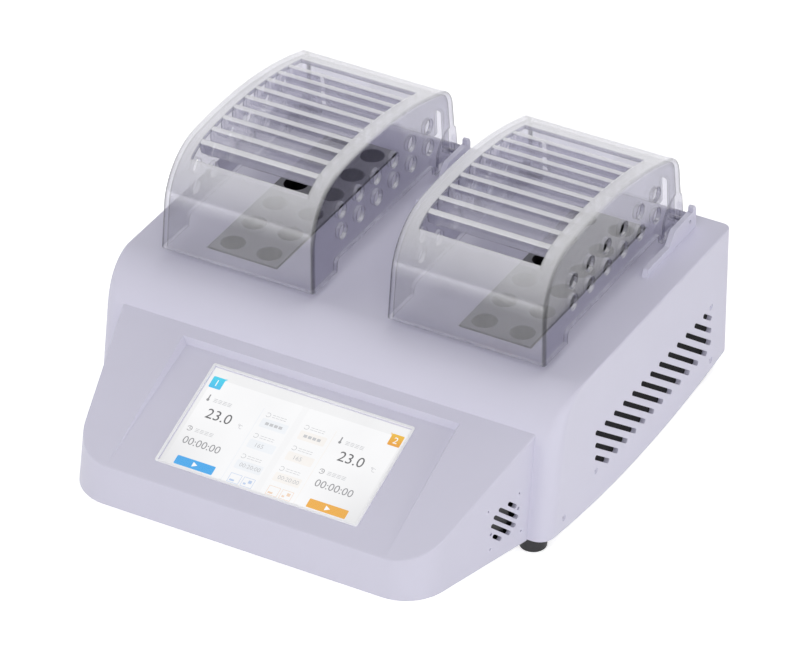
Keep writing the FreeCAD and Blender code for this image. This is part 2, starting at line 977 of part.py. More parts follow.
def make_touch_glass():
    half = screen_width / 2 - display_gap
    y0 = screen_offset + display_gap
    y1 = screen_offset + screen_height - display_gap
    return on_floor(box(-half, half, y0, y1, glass_proud - glass_thickness, glass_proud))


def make_lcd_panel():
    half = screen_width / 2 - display_gap
    y0 = screen_offset + display_gap
    y1 = screen_offset + screen_height - display_gap
    return on_floor(box(-half, half, y0, y1, -recess_floor, glass_proud - glass_thickness))


def module_low_edge():
    """Distance up the floor to the display module's lower edge."""
    return screen_offset + screen_height / 2 - module_height / 2


def make_lcd_module():
    half = module_width / 2
    y0 = module_low_edge()
    return on_floor(plate(-half, half, y0, y0 + module_height, -recess_floor - module_depth,
                          -recess_floor, trim_width))


def display_post_spots():
    """Places of the four posts behind the display module."""
    x = display_board_width / 2 - display_post_inset
    y0 = screen_offset + screen_height / 2
    y = display_board_height / 2 - display_post_inset
    return [(sx * x, y0 + sy * y) for sx in (-1, 1) for sy in (-1, 1)]


def make_display_board():
    """Driver board behind the display, with a processor and a connector on its back."""
    half = display_board_width / 2
    middle = screen_offset + screen_height / 2
    top = -recess_floor - module_depth - board_post_length
    low = top - board_thickness
    y0 = middle - display_board_height / 2
    board = box(-half, half, y0, y0 + display_board_height, low, top)
    chip = box(-chip_size / 2, chip_size / 2, middle, middle + chip_size, low - chip_height, low)
    plug = box(half - connector_width - board_thickness, half - board_thickness, middle,
               middle + connector_depth, low - chip_height, low)
    board = fused([board, chip, plug])
    for x, y in display_post_spots():
        board = board.cut(rod(small_screw_radius, Vector(x, y, low - overrun), Vector(x, y, top + overrun)))
    return on_floor(board)


def make_display_posts():
    posts = []
    top = -recess_floor - module_depth
    for x, y in display_post_spots():
        post = rod(board_post_radius, Vector(x, y, top - board_post_length), Vector(x, y, top))
        hole = rod(small_screw_radius, Vector(x, y, top - board_post_length), Vector(x, y, top))
        posts.append(on_floor(post.cut(hole)))
    return posts


def make_display_screws():
    screws = []
    seat = -recess_floor - module_depth - board_post_length - board_thickness
    length = board_thickness + board_post_length
    for x, y in display_post_spots():
        screws.append(on_floor(pan_head_screw(z_axis, Vector(x, y, seat), small_screw_radius,
                                              small_screw_head_radius, small_screw_head_height, length)))
    return screws


# Axial fans, made with the air path along z and the mounting face at z = 0, running to negative z

def fan_frame(size, depth, bore, corner, boss, spoke, web, spacing, screw):
    """Square frame with a round duct, and a motor boss carried by spokes at its inner end."""
    half = size / 2
    frame = plate(-half, half, -half, half, -depth, 0, corner)
    frame = frame.cut(rod(bore, Vector(0, 0, -depth - overrun), Vector(0, 0, overrun)))
    pieces = [frame, rod(boss, Vector(0, 0, -depth), Vector(0, 0, web - depth))]
    for i in range(fan_spokes):
        arm = box(0, bore + web / 2, -spoke / 2, spoke / 2, -depth, web - depth)
        arm.rotate(Vector(0, 0, 0), z_axis, (i + 1 / 2) * 360 / fan_spokes)
        pieces.append(arm)
    frame = fused(pieces)
    hole = spacing / 2
    for x in (-hole, hole):
        for y in (-hole, hole):
            frame = frame.cut(rod(screw, Vector(x, y, -depth - overrun), Vector(x, y, overrun)))
    return frame


def fan_rotor(depth, bore, hub, web, end_gap, blade_thickness, shaft, hub_wall):
    """Cupped hub with twisted blades and a shaft stub that runs in the frame's boss."""
    low = web - depth + end_gap
    high = -end_gap
    cup = rod(hub, Vector(0, 0, low), Vector(0, 0, high))
    hollow = rod(hub - hub_wall, Vector(0, 0, low), Vector(0, 0, high - hub_wall))
    tip = bore - fan_tip_gap
    middle = (low + high) / 2
    pitch = math.radians(fan_blade_pitch)
    span = (high - low) / math.sin(pitch) - blade_thickness
    pieces = [cup.cut(hollow), rod(shaft, Vector(0, 0, web / 2 - depth), Vector(0, 0, high))]
    ring = rod(tip, Vector(0, 0, low), Vector(0, 0, high)).cut(
        rod(hub - hub_wall / 2, Vector(0, 0, low), Vector(0, 0, high)))
    for i in range(fan_blades):
        blade = box(0, bore, -span / 2, span / 2, -blade_thickness / 2, blade_thickness / 2)
        blade.rotate(Vector(0, 0, 0), x_axis, fan_blade_pitch)
        blade.translate(Vector(0, 0, middle))
        blade.rotate(Vector(0, 0, 0), z_axis, i * 360 / fan_blades)
        pieces.append(blade.common(ring))
    return fused(pieces)


def fan_socket(depth, web, shaft):
    """Bearing hole in the frame's boss."""
    return rod(shaft + pin_running_gap, Vector(0, 0, web / 4 - depth), Vector(0, 0, web - depth + overrun))


def make_fan_frame():
    frame = fan_frame(fan_size, fan_depth, fan_bore_radius, fan_corner_radius, fan_hub_radius,
                      fan_spoke_width, fan_web, fan_screw_spacing, screw_radius)
    frame = frame.cut(fan_socket(fan_depth, fan_web, fan_shaft_radius))
    return facing_back(frame, 0, fan_centre_z)


def facing_back(shape, x, z):
    """Shape made flat, turned so that its z points to the back and its face is on the rear panel."""
    copy = shape.copy()
    turn = Rotation(x_axis, -90)
    copy.Placement = Placement(Vector(x, panel_front_y, z), turn).multiply(copy.Placement)
    return copy


def make_fan_rotor():
    rotor = fan_rotor(fan_depth, fan_bore_radius, fan_hub_radius, fan_web, fan_end_gap,
                      fan_blade_thickness, fan_shaft_radius, fan_hub_wall)
    return facing_back(rotor, 0, fan_centre_z)


def make_fan_screws():
    screws = []
    half = fan_screw_spacing / 2
    for x in (-half, half):
        for z in (-half, half):
            seat = Vector(x, inner_back_y, fan_centre_z + z)
            screws.append(pan_head_screw(y_axis * -1, seat, screw_radius, screw_head_radius,
                                         screw_head_height, rear_panel_sheet + fan_depth))
    return screws


def make_console_fan_frame():
    frame = fan_frame(console_fan_size, console_fan_depth, console_fan_bore_radius,
                      console_fan_corner_radius, console_fan_hub_radius, console_fan_spoke_width,
                      console_fan_web, console_fan_screw_spacing, small_screw_radius)
    frame = frame.cut(fan_socket(console_fan_depth, console_fan_web, console_fan_shaft_radius))
    return on_console_side(moved(frame, Vector(0, 0, -wall)), 1)


def make_console_fan_rotor():
    rotor = fan_rotor(console_fan_depth, console_fan_bore_radius, console_fan_hub_radius,
                      console_fan_web, console_fan_end_gap, console_fan_blade_thickness,
                      console_fan_shaft_radius, console_fan_hub_wall)
    return on_console_side(moved(rotor, Vector(0, 0, -wall)), 1)


def make_console_fan_screws():
    screws = []
    for x, y in console_fan_screw_spots():
        screw = countersunk_screw(z_axis * -1, Vector(x, y, 0), small_screw_radius,
                                  small_screw_head_radius, small_screw_head_height,
                                  wall + console_fan_depth)
        screws.append(on_console_side(screw, 1))
    return screws


# Heating zones. Each is made about its own middle plane and moved to its side.

def in_zone(shape, zone):
    """A heating zone's piece on its side of the housing; zone A is the left one, mirrored."""
    placed = moved(shape, Vector(block_offset, 0, 0))
    return placed if zone > 0 else mirrored(placed)


z_block_top = z_top + block_proud
z_block = z_block_top - block_height
z_heater = z_block - heater_plate_thickness
z_jacket = z_heater - insulation
z_pan = z_jacket - pan_sheet


def well_spots():
    """Centres of one block's wells, about its middle plane."""
    first_x = -(well_columns - 1) * well_pitch_x / 2
    margin = (block_length - (well_rows - 1) * well_pitch_y) / 2
    spots = []
    for column in range(well_columns):
        for row in range(well_rows):
            spots.append((first_x + column * well_pitch_x, block_front + margin + row * well_pitch_y))
    return spots


def probe_line():
    """Start and end of the temperature probe, between two rows of wells, from the inner side."""
    z = z_block_top - probe_drop
    y = block_front + block_length / 2
    inner = Vector(-block_width / 2 - insulation, y, z)
    tip = Vector(-block_width / 2 + probe_reach, y, z)
    return inner, tip


def make_heating_block():
    """Drilled block; the wells go through it and end on the heater plate."""
    half = block_width / 2
    block = box(-half, half, block_front, block_front + block_length, z_block, z_block_top)
    cuts = []
    for x, y in well_spots():
        top = Vector(x, y, z_block_top)
        bottom = Vector(x, y, z_block)
        cuts.append(rod(well_radius, bottom - z_axis * overrun, top + z_axis * overrun))
        cuts.append(Part.makeCone(well_radius, well_radius + well_chamfer, well_chamfer,
                                  top - z_axis * well_chamfer))
    inner, tip = probe_line()
    cuts.append(rod(probe_radius, inner, tip))
    return block.cut(Part.makeCompound(cuts))


def make_heater_plate():
    """Cast plate with the heating element inside, under the block."""
    half = block_width / 2
    return box(-half, half, block_front, block_front + block_length, z_heater, z_block)


def cutout_solid():
    """Round thermal cut-out with two blade tabs, held against the front end of the block."""
    z = z_block_top - cutout_drop
    back = Vector(0, block_front, z)
    body = rod(cutout_radius, back - y_axis * cutout_depth, back)
    pieces = [body]
    for sign in (-1, 1):
        x = sign * tab_spacing / 2
        y1 = block_front - cutout_depth
        pieces.append(box(x - tab_thickness / 2, x + tab_thickness / 2, y1 - tab_length, y1,
                          z - tab_width / 2, z + tab_width / 2))
    return fused(pieces)


def make_insulation_jacket():
    """Box of insulation under and around the block, open at the top."""
    half = block_width / 2
    back = block_front + block_length
    high = z_top - wall - insulation_top_gap
    jacket = box(-half - insulation, half + insulation, block_front - insulation, back + insulation,
                 z_jacket, high)
    jacket = jacket.cut(box(-half, half, block_front, back, z_heater, high + overrun))
    inner, tip = probe_line()
    jacket = jacket.cut(rod(probe_radius, inner - x_axis * overrun, tip))
    return jacket.cut(cutout_solid())


def make_temperature_probe():
    inner, tip = probe_line()
    head = rod(probe_head_radius, inner - x_axis * probe_head_length, inner)
    return fused([head, rod(probe_radius, inner, tip)])


def make_block_pan():
    """Folded sheet pan that carries the jacket."""
    half = block_width / 2 + insulation
    back = block_front + block_length + insulation
    front = block_front - insulation
    outer = box(-half - pan_sheet, half + pan_sheet, front - pan_sheet, back + pan_sheet,
                z_pan, z_jacket + pan_rim)
    return outer.cut(box(-half, half, front, back, z_jacket, z_jacket + pan_rim + overrun))


def standoff_spots():
    """Places of the four posts under one pan."""
    x = block_width / 2 + insulation - standoff_inset
    y0 = block_front - insulation + standoff_inset
    y1 = block_front + block_length + insulation - standoff_inset
    return [(-x, y0), (x, y0), (-x, y1), (x, y1)]


def make_block_standoffs():
    posts = []
    for zone in (-1, 1):
        for x, y in standoff_spots():
            posts.append(in_zone(rod(standoff_radius, Vector(x, y, z_tray), Vector(x, y, z_pan)), zone))
    return posts


# Covers. Each is made about its own middle plane and moved to its side.

z_cover = z_top + cover_lift
z_pivot = z_top + pivot_height


def arch_corner(foot, up, inward, centre, arch, radius):
    """Where a rounded corner leaves a straight wall, its middle, and where it meets the arch."""
    start = foot + inward * radius - centre
    along = start.dot(up)
    travel = math.sqrt(along ** 2 - start.dot(start) + (arch - radius) ** 2) - along
    middle = foot + inward * radius + up * travel
    outward = (middle - centre).normalize()
    crown = (outward - inward).normalize()
    return foot + up * travel, middle + crown * radius, centre + outward * arch


def cover_profile(inset, low, x):
    """Side outline of a cover at one x: front wall, arch and back wall."""
    front = math.radians(cover_front_lean)
    back = math.radians(cover_back_lean)
    front_up = Vector(0, math.sin(front), math.cos(front))
    front_in = Vector(0, math.cos(front), -math.sin(front))
    back_up = Vector(0, -math.sin(back), math.cos(back))
    back_in = Vector(0, -math.cos(back), -math.sin(back))
    centre = Vector(x, cover_peak_y, z_top + cover_peak_height - cover_arch_radius)
    arch = cover_arch_radius - inset
    front_foot = Vector(x, cover_front_y, z_cover) + front_in * inset
    back_foot = Vector(x, cover_back_y, z_cover) + back_in * inset
    f_wall, f_mid, f_arch = arch_corner(front_foot, front_up, front_in, centre, arch,
                                        cover_front_round - inset)
    b_wall, b_mid, b_arch = arch_corner(back_foot, back_up, back_in, centre, arch,
                                        cover_back_round - inset)
    crown = centre + z_axis * arch
    f_low = front_foot + front_up * ((low - front_foot.z) / front_up.z)
    b_low = back_foot + back_up * ((low - back_foot.z) / back_up.z)
    edges = [
        Part.LineSegment(f_low, f_wall).toShape(),
        Part.Arc(f_wall, f_mid, f_arch).toShape(),
        Part.Arc(f_arch, crown, b_arch).toShape(),
        Part.Arc(b_arch, b_mid, b_wall).toShape(),
        Part.LineSegment(b_wall, b_low).toShape(),
        Part.LineSegment(b_low, f_low).toShape(),
    ]
    return Part.Wire(edges)


def cover_solid(inset, low):
    """A cover's outer form, or its form inset by a wall, down to a level."""
    half = cover_width / 2
    solid = Part.Face(cover_profile(inset, low, -half)).extrude(x_axis * cover_width)
    draft = math.tan(math.radians(cover_side_draft))
    high = z_top + cover_peak_height + overrun
    near = cover_front_y - overrun
    bottom_half = half - inset - (low - z_cover) * draft
    top_half = half - inset - (high - z_cover) * draft
    corners = [
        Vector(-bottom_half, near, low),
        Vector(bottom_half, near, low),
        Vector(top_half, near, high),
        Vector(-top_half, near, high),
    ]
    drafted = prism(corners, [0] * 4, y_axis * (cover_back_y - near + overrun))
    return solid.common(drafted)


def rounded_cover_edges(solid):
    """The cover's outer form with the edges between its sides and its other walls rounded."""
    edges = []
    for edge in solid.Edges:
        bound = edge.BoundBox
        at_side = bound.XMax < -cover_width / 4 or bound.XMin > cover_width / 4
        if at_side and bound.ZMax > z_cover + cover_edge_round:
            edges.append(edge)
    return solid.makeFillet(cover_edge_round, edges)


def slat_places():
    """Centre and angle of each slat, spaced evenly along the arch's outer face."""
    profile = Part.Wire(cover_profile(0, z_cover, 0).Edges[1:3])
    low = profile.discretize(Distance=side_hole_radius / 4)
    opening = [p for p in low if grille_front <= p.y <= grille_back]
    path = Part.makePolygon(opening)
    points = path.discretize(slat_count + 2)
    places = []
    for i in range(1, slat_count + 1):
        ahead = points[i + 1] - points[i - 1]
        places.append((points[i], math.degrees(math.atan2(ahead.z, ahead.y))))
    return places


def make_slats():
    """Bars across the opening in the arch, each square to the arch, its upper edges rounded."""
    half = grille_width / 2 + slat_bite
    low = -slat_sink - slat_depth
    slats = []
    for point, angle in slat_places():
        bar = box(-half, half, -slat_width / 2, slat_width / 2, low, -slat_sink)
        upper = [e for e in bar.Edges if e.Length > slat_depth and e.BoundBox.ZMin > low + slat_round]
        bar = bar.makeFillet(slat_round, upper)
        bar.rotate(Vector(0, 0, 0), x_axis, angle)
        bar.translate(point)
        slats.append(bar)
    return slats


def side_hole_cuts():
    reach = cover_width
    holes = []
    for column in range(side_hole_columns):
        for row in range(side_hole_rows):
            y = side_hole_first_y + column * side_hole_pitch
            z = z_top + side_hole_low + row * side_hole_row_gap
            holes.append(rod(side_hole_radius, Vector(-reach, y, z), Vector(reach, y, z)))
    return holes


def notch_cut():
    """Raises the lower edge of both side panels between the front corner and the hinge lug."""
    reach = cover_width
    low = z_cover - overrun
    high = z_cover + notch_rise
    corners = [
        Vector(-reach, notch_front, low),
        Vector(-reach, notch_front + notch_slant, high),
        Vector(-reach, notch_back - notch_slant, high),
        Vector(-reach, notch_back, low),
    ]
    return prism(corners, [0, notch_round, notch_round, 0], x_axis * (2 * reach))


def back_wall_cut():
    """Gap below the back wall's middle flap, with a slot up each side of the flap."""
    y0 = cover_back_y - cover_back_round
    low = z_cover - overrun
    flap = z_top + back_flap_low
    top = z_top + back_slot_top
    inner = back_slot_from_middle
    outer = inner + back_slot_width
    spots = [
        (-outer, low), (-outer, top), (-inner, top), (-inner, flap),
        (inner, flap), (inner, top), (outer, top), (outer, low),
    ]
    end = back_slot_width / 2
    radii = [0, end, end, back_flap_round, back_flap_round, end, end, 0]
    corners = [Vector(x, y0, z) for x, z in spots]
    return prism(corners, radii, y_axis * (cover_back_round + overrun))


def hinge_lugs():
    """Doubled wall and round boss about the pivot, inside each side panel."""
    half = cover_width / 2
    lugs = []
    for side in (-1, 1):
        outer = Vector(side * half, pivot_y, z_pivot)
        inner = Vector(side * (half - cover_wall - doubler_thickness), pivot_y, z_pivot)
        doubler = rod(doubler_radius, outer, inner).common(cover_solid(0, z_cover))
        lugs.append(doubler)
        lugs.append(rod(lug_radius, outer, inner))
    return lugs


def pivot_bores():
    half = cover_width / 2 + overrun
    return rod(pin_radius + pin_running_gap, Vector(-half, pivot_y, z_pivot), Vector(half, pivot_y, z_pivot))


def make_cover():
    """One clear moulding: walls, slatted arch, pierced sides, slotted back and hinge lugs."""
    cover = rounded_cover_edges(cover_solid(0, z_cover)).cut(cover_solid(cover_wall, z_cover - overrun))
    high = z_top + cover_peak_height + overrun
    opening = box(-grille_width / 2, grille_width / 2, grille_front, grille_back,
                  z_top + cover_peak_height / 2, high)
    cover = cover.cut(opening)
    cover = cover.cut(Part.makeCompound(side_hole_cuts() + [notch_cut(), back_wall_cut()]))
    cover = cover.multiFuse(make_slats() + hinge_lugs())
    return cover.cut(pivot_bores())


def in_cover_zone(shape, zone):
    return moved(shape, Vector(zone * cover_offset, 0, 0))


def bracket_outline(x):
    """Side outline of a hinge bracket: low rail, riser, raised cheek and nub at the back."""
    nub_back = bracket_nub_front + bracket_nub_width
    corners = [
        Vector(x, bracket_front, z_top),
        Vector(x, bracket_front + bracket_front_slant, z_top + bracket_rail_height),
        Vector(x, bracket_riser_front, z_top + bracket_rail_height),
        Vector(x, bracket_riser_back, z_top + bracket_height),
        Vector(x, bracket_nub_front, z_top + bracket_height),
        Vector(x, bracket_nub_front, z_top + bracket_nub_height),
        Vector(x, nub_back, z_top + bracket_nub_height),
        Vector(x, bracket_back, z_top + bracket_height),
        Vector(x, bracket_back, z_top),
    ]
    small = bracket_round / 2
    radii = [0, bracket_round, bracket_riser_round, bracket_riser_round, small,
             bracket_round, bracket_round, small, 0]
    return rounded_wire(corners, radii)


def make_hinge_bracket(side):
    """Upright cheek outside one side of a cover, standing on the housing's top."""
    inner = side * (cover_width / 2 + bracket_gap)
    along = x_axis * (side * bracket_thickness)
    bracket = Part.Face(bracket_outline(inner)).extrude(along)
    centre = Vector(inner, pivot_y, z_pivot)
    bracket = bracket.cut(rod(pin_radius, centre - along, centre + along * 2))
    x = inner + side * bracket_thickness / 2
    for y in (bracket_screw_front_y, bracket_screw_back_y):
        hole = rod(screw_radius / 2, Vector(x, y, z_top), Vector(x, y, z_top + bracket_screw_grip))
        bracket = bracket.cut(hole)
    return bracket


def make_hinge_pins():
    """Pins pressed into the brackets, on which the covers turn."""
    outer = cover_width / 2 + bracket_gap + bracket_thickness - pin_recess
    inner = cover_width / 2 - cover_wall - doubler_thickness - pin_reach
    pins = []
    for zone in (-1, 1):
        for side in (-1, 1):
            start = Vector(side * outer, pivot_y, z_pivot)
            end = Vector(side * inner, pivot_y, z_pivot)
            pins.append(in_cover_zone(rod(pin_radius, start, end), zone))
    return pins


def make_bracket_screws():
    """Screws up through the housing's top into the brackets, with stepped tips."""
    screws = []
    for x, y in bracket_screw_places():
        seat = Vector(x, y, z_top - wall)
        body = pan_head_screw(z_axis, seat, screw_radius, screw_head_radius, screw_head_height, wall)
        tip = rod(screw_radius / 2, Vector(x, y, z_top), Vector(x, y, z_top + bracket_screw_grip))
        screws.append(body.fuse(tip).removeSplitter())
    return screws


# Rear panel and what it carries

def fan_grille_cuts():
    """Level slots with round ends that fill a circle in front of the fan."""
    cuts = []
    y = inner_back_y + overrun
    along = y_axis * -(rear_panel_sheet + 2 * overrun)
    reach = fan_bore_radius - grille_slot_width / 2
    for row in range(-grille_rows_each_way, grille_rows_each_way + 1):
        offset = row * grille_slot_pitch
        half = math.sqrt(reach ** 2 - offset ** 2)
        z = fan_centre_z + offset
        for sign in (-1, 1):
            near = sign * grille_slot_width / 2
            cuts.append(slot_prism(Vector(near, y, z), Vector(sign * half, y, z), grille_slot_width, along))
    return cuts


def make_rear_panel():
    """Sheet behind the housing's rear window, pierced for the fan, the inlet and the switch."""
    half = half_body - back_corner_radius
    low = z_tray + tray_gap
    high = z_top - wall - tray_gap
    panel = upright_plate(-half, half, low, high, panel_front_y, inner_back_y, rear_panel_round)
    cuts = fan_grille_cuts()
    through = (panel_front_y - overrun, inner_back_y + overrun)
    w = inlet_body_width / 2
    h = inlet_body_height / 2
    cuts.append(upright_plate(inlet_x - w, inlet_x + w, inlet_centre_z - h, inlet_centre_z + h,
                              through[0], through[1], inlet_round))
    w = switch_body_width / 2
    h = switch_body_height / 2
    cuts.append(box(switch_x - w, switch_x + w, through[0], through[1],
                    switch_centre_z - h, switch_centre_z + h))
    for x, z in rear_screw_places():
        cuts.append(rod(screw_radius, Vector(x, through[0], z), Vector(x, through[1], z)))
    spot = fan_screw_spacing / 2
    for x in (-spot, spot):
        for z in (-spot, spot):
            cuts.append(rod(screw_radius, Vector(x, through[0], fan_centre_z + z),
                            Vector(x, through[1], fan_centre_z + z)))
    return panel.cut(Part.makeCompound(cuts))


def make_rear_screws():
    y = top_depth - screw_sink
    return [countersunk_screw(y_axis * -1, Vector(x, y, z), screw_radius, screw_head_radius,
                              screw_head_height, screw_length) for x, z in rear_screw_places()]


def socket_cut():
    """The inlet's socket: a rectangle with two corners cut off, open to the back."""
    z = inlet_centre_z + socket_rise
    w = socket_width / 2
    h = socket_height / 2
    y = inner_back_y + inlet_flange_thickness - socket_depth
    c = socket_chamfer
    corners = [
        Vector(inlet_x - w, y, z - h),
        Vector(inlet_x + w - c, y, z - h),
        Vector(inlet_x + w, y, z - h + c),
        Vector(inlet_x + w, y, z + h - c),
        Vector(inlet_x + w - c, y, z + h),
        Vector(inlet_x - w, y, z + h),
    ]
    return prism(corners, [0] * 6, y_axis * (socket_depth + overrun))


def drawer_bay():
    """The space in the inlet that the fuse drawer slides in."""
    z = inlet_centre_z - drawer_drop
    w = drawer_width / 2 + drawer_gap
    h = drawer_height / 2 + drawer_gap
    back = inner_back_y + inlet_flange_thickness
    return box(inlet_x - w, inlet_x + w, back - drawer_depth - drawer_gap, back + overrun, z - h, z + h)


def make_mains_inlet():
    """Moulded inlet body with its flange against the rear panel."""
    w = inlet_flange_width / 2
    h = inlet_flange_height / 2
    flange = upright_plate(inlet_x - w, inlet_x + w, inlet_centre_z - h, inlet_centre_z + h,
                           inner_back_y, inner_back_y + inlet_flange_thickness, inlet_round)
    w = inlet_body_width / 2
    h = inlet_body_height / 2
    body = upright_plate(inlet_x - w, inlet_x + w, inlet_centre_z - h, inlet_centre_z + h,
                         inner_back_y - inlet_body_depth, inner_back_y, inlet_round)
    inlet = fused([flange, body]).cut(socket_cut()).cut(drawer_bay())
    return inlet.cut(Part.makeCompound(contact_solids()))


def contact_solids():
    """Three flat contacts that stand in the socket and pass out through its floor."""
    floor = inner_back_y + inlet_flange_thickness - socket_depth
    start = inner_back_y - inlet_body_depth - contact_root
    z = inlet_centre_z + socket_rise
    blades = []
    for row in (-1, 0, 1):
        x = inlet_x - contact_step / 2 if row == 0 else inlet_x + contact_step / 2
        middle = z + row * contact_spacing
        blades.append(box(x - contact_width / 2, x + contact_width / 2, start, floor + contact_length,
                          middle - contact_thickness / 2, middle + contact_thickness / 2))
    return blades


def make_fuse_drawer():
    """Tray that slides out of the inlet, with a lipped face to pull and a trough for the fuse."""
    z = inlet_centre_z - drawer_drop
    w = drawer_width / 2
    h = drawer_height / 2
    back = inner_back_y + inlet_flange_thickness
    tray = box(inlet_x - w, inlet_x + w, back - drawer_depth, back, z - h, z + h)
    face = upright_plate(inlet_x - w - drawer_face_lap, inlet_x + w + drawer_face_lap,
                         z - h - drawer_face_lap, z + h + drawer_face_lap,
                         back + touching, back + drawer_face_proud, drawer_face_lap)
    trough = box(inlet_x - w + drawer_face_lap, inlet_x + w - drawer_face_lap,
                 back - drawer_depth + drawer_face_lap, back - drawer_face_lap,
                 z - fuse_radius, z + h + overrun)
    grip = rod(drawer_grip, Vector(inlet_x - w / 2, back + drawer_face_proud, z - h - drawer_face_lap),
               Vector(inlet_x + w / 2, back + drawer_face_proud, z - h - drawer_face_lap))
    return fused([tray, face]).cut(trough).cut(grip)


def make_fuse():
    """Glass fuse with metal caps, lying across the drawer."""
    z = inlet_centre_z - drawer_drop
    w = drawer_width / 2 - drawer_face_lap
    y = inner_back_y + inlet_flange_thickness - drawer_depth / 2
    return rod(fuse_radius, Vector(inlet_x - w, y, z), Vector(inlet_x + w, y, z))


def make_switch_frame():
    """Switch body behind the panel with a bezel in front, open to the back for the rocker."""
    w = switch_frame_width / 2
    h = switch_frame_height / 2
    bezel = upright_plate(switch_x - w, switch_x + w, switch_centre_z - h, switch_centre_z + h,
                          inner_back_y, inner_back_y + switch_bezel_thickness, switch_wall)
    w = switch_body_width / 2
    h = switch_body_height / 2
    body = box(switch_x - w, switch_x + w, inner_back_y - switch_body_depth, inner_back_y,
               switch_centre_z - h, switch_centre_z + h)
    w -= switch_wall
    h -= switch_wall
    bay = box(switch_x - w, switch_x + w, inner_back_y - switch_body_depth + switch_wall,
              inner_back_y + overrun, switch_centre_z - h, switch_centre_z + h)
    frame = fused([bezel, body]).cut(bay)
    reach = switch_body_width / 2
    axle = rod(rocker_axle_radius + pin_running_gap, rocker_axis_point(-reach + switch_wall / 2),
               rocker_axis_point(reach - switch_wall / 2))
    return frame.cut(axle)


def rocker_axis_point(x):
    """Point on the rocker's axle, x to the right of the switch's middle."""
    return Vector(switch_x + x, inner_back_y - rocker_thickness / 2, switch_centre_z)


def make_switch_rocker():
    """Rocker with a dished face, on an axle that turns in the switch body."""
    w = switch_body_width / 2 - switch_wall - rocker_gap
    back = inner_back_y + switch_bezel_thickness
    half_gap = rocker_thickness / 2
    swing = switch_body_height / 2 - switch_wall - rocker_gap
    reach = math.sqrt(swing ** 2 - (half_gap + switch_bezel_thickness) ** 2)
    corners = [
        Vector(switch_x - w, back - rocker_thickness, -half_gap),
        Vector(switch_x - w, back - rocker_thickness, half_gap),
        Vector(switch_x - w, back, reach),
        Vector(switch_x - w, back, -reach),
    ]
    body = prism([c + z_axis * switch_centre_z for c in corners], [0] * 4, x_axis * (2 * w))
    dish_y = back + rocker_radius - half_gap / 2
    dish = rod(rocker_radius, Vector(switch_x - w - overrun, dish_y, switch_centre_z),
               Vector(switch_x + w + overrun, dish_y, switch_centre_z))
    reach_x = switch_body_width / 2 - switch_wall / 2 - rocker_gap
    axle = rod(rocker_axle_radius, rocker_axis_point(-reach_x), rocker_axis_point(reach_x))
    rocker = fused([body.cut(dish), axle])
    rocker.rotate(rocker_axis_point(0), x_axis, rocker_tilt)
    return rocker


# Electronics

def make_power_supply():
    """Enclosed power supply: folded sheet case with a slot row, standing on the tray."""
    half = supply_width / 2
    y1 = supply_front + supply_length
    case = box(-half, half, supply_front, y1, z_tray, z_tray + supply_height)
    hollow = box(-half + supply_sheet, half - supply_sheet, supply_front + supply_sheet,
                 y1 - supply_sheet, z_tray + supply_sheet, z_tray + supply_height - supply_sheet)
    case = case.cut(hollow)
    cuts = []
    pitch = supply_length / (supply_slots + 1)
    for i in range(supply_slots):
        y = supply_front + pitch * (i + 1)
        z = z_tray + supply_height
        start = Vector(-half + supply_slot_inset, y, z - supply_lip)
        end = Vector(half - supply_slot_inset, y, z - supply_lip)
        cuts.append(slot_prism(start, end, supply_lip, z_axis * (2 * supply_lip)))
    return case.cut(Part.makeCompound(cuts))


def make_relay(side):
    """Solid-state relay: metal base, moulded body and four screw posts."""
    x = side * relay_offset
    w = relay_width / 2
    y1 = relay_front + relay_length
    base = box(x - w, x + w, relay_front, y1, z_tray, z_tray + relay_base)
    body = plate(x - w, x + w, relay_front + relay_base, y1 - relay_base, z_tray + relay_base,
                 z_tray + relay_height, relay_post_radius)
    pieces = [base, body]
    for sx in (-1, 1):
        for sy in (-1, 1):
            px = x + sx * (w - 2 * relay_post_radius)
            reach = relay_length / 2 - relay_base - 2 * relay_post_radius
            foot = Vector(px, relay_front + relay_length / 2 + sy * reach, z_tray + relay_height)
            pieces.append(rod(relay_post_radius, foot, foot + z_axis * relay_post_height))
    return fused(pieces)


def make_terminal_block():
    """Row of screw terminals beside the power supply."""
    w = terminal_width / 2
    y1 = terminal_front + terminal_length
    top = z_tray + terminal_height
    block = box(terminal_x - w, terminal_x + w, terminal_front, y1, z_tray, top)
    pitch = terminal_length / terminal_ways
    cuts = []
    for i in range(terminal_ways):
        y = terminal_front + pitch * (i + 1 / 2)
        for sign in (-1, 1):
            x = terminal_x + sign * w / 2
            cuts.append(rod(terminal_screw_radius, Vector(x, y, top - terminal_screw_depth),
                            Vector(x, y, top + overrun)))
    return block.cut(Part.makeCompound(cuts))


def board_post_spots():
    x = board_width / 2 - board_post_inset
    y0 = board_front + board_post_inset
    y1 = board_front + board_length - board_post_inset
    return [(-x, y0), (x, y0), (-x, y1), (x, y1)]


def make_control_board():
    """Control board in the console, with chips and a connector row."""
    half = board_width / 2
    low = z_tray + board_post_length
    high = low + board_thickness
    y1 = board_front + board_length
    pieces = [box(-half, half, board_front, y1, low, high)]
    for share in chip_shares:
        x = share * board_width
        y = board_front + board_length / 2
        pieces.append(box(x, x + chip_size, y, y + chip_size, high, high + chip_height))
    for side in (-1, 1):
        x = side * connector_offset
        pieces.append(box(x - connector_width / 2, x + connector_width / 2,
                          y1 - board_thickness - connector_depth, y1 - board_thickness,
                          high, high + connector_height))
    board = fused(pieces)
    for x, y in board_post_spots():
        spot = Vector(x, y, low - overrun)
        board = board.cut(rod(small_screw_radius, spot, spot + z_axis * (board_thickness + 2 * overrun)))
    return board


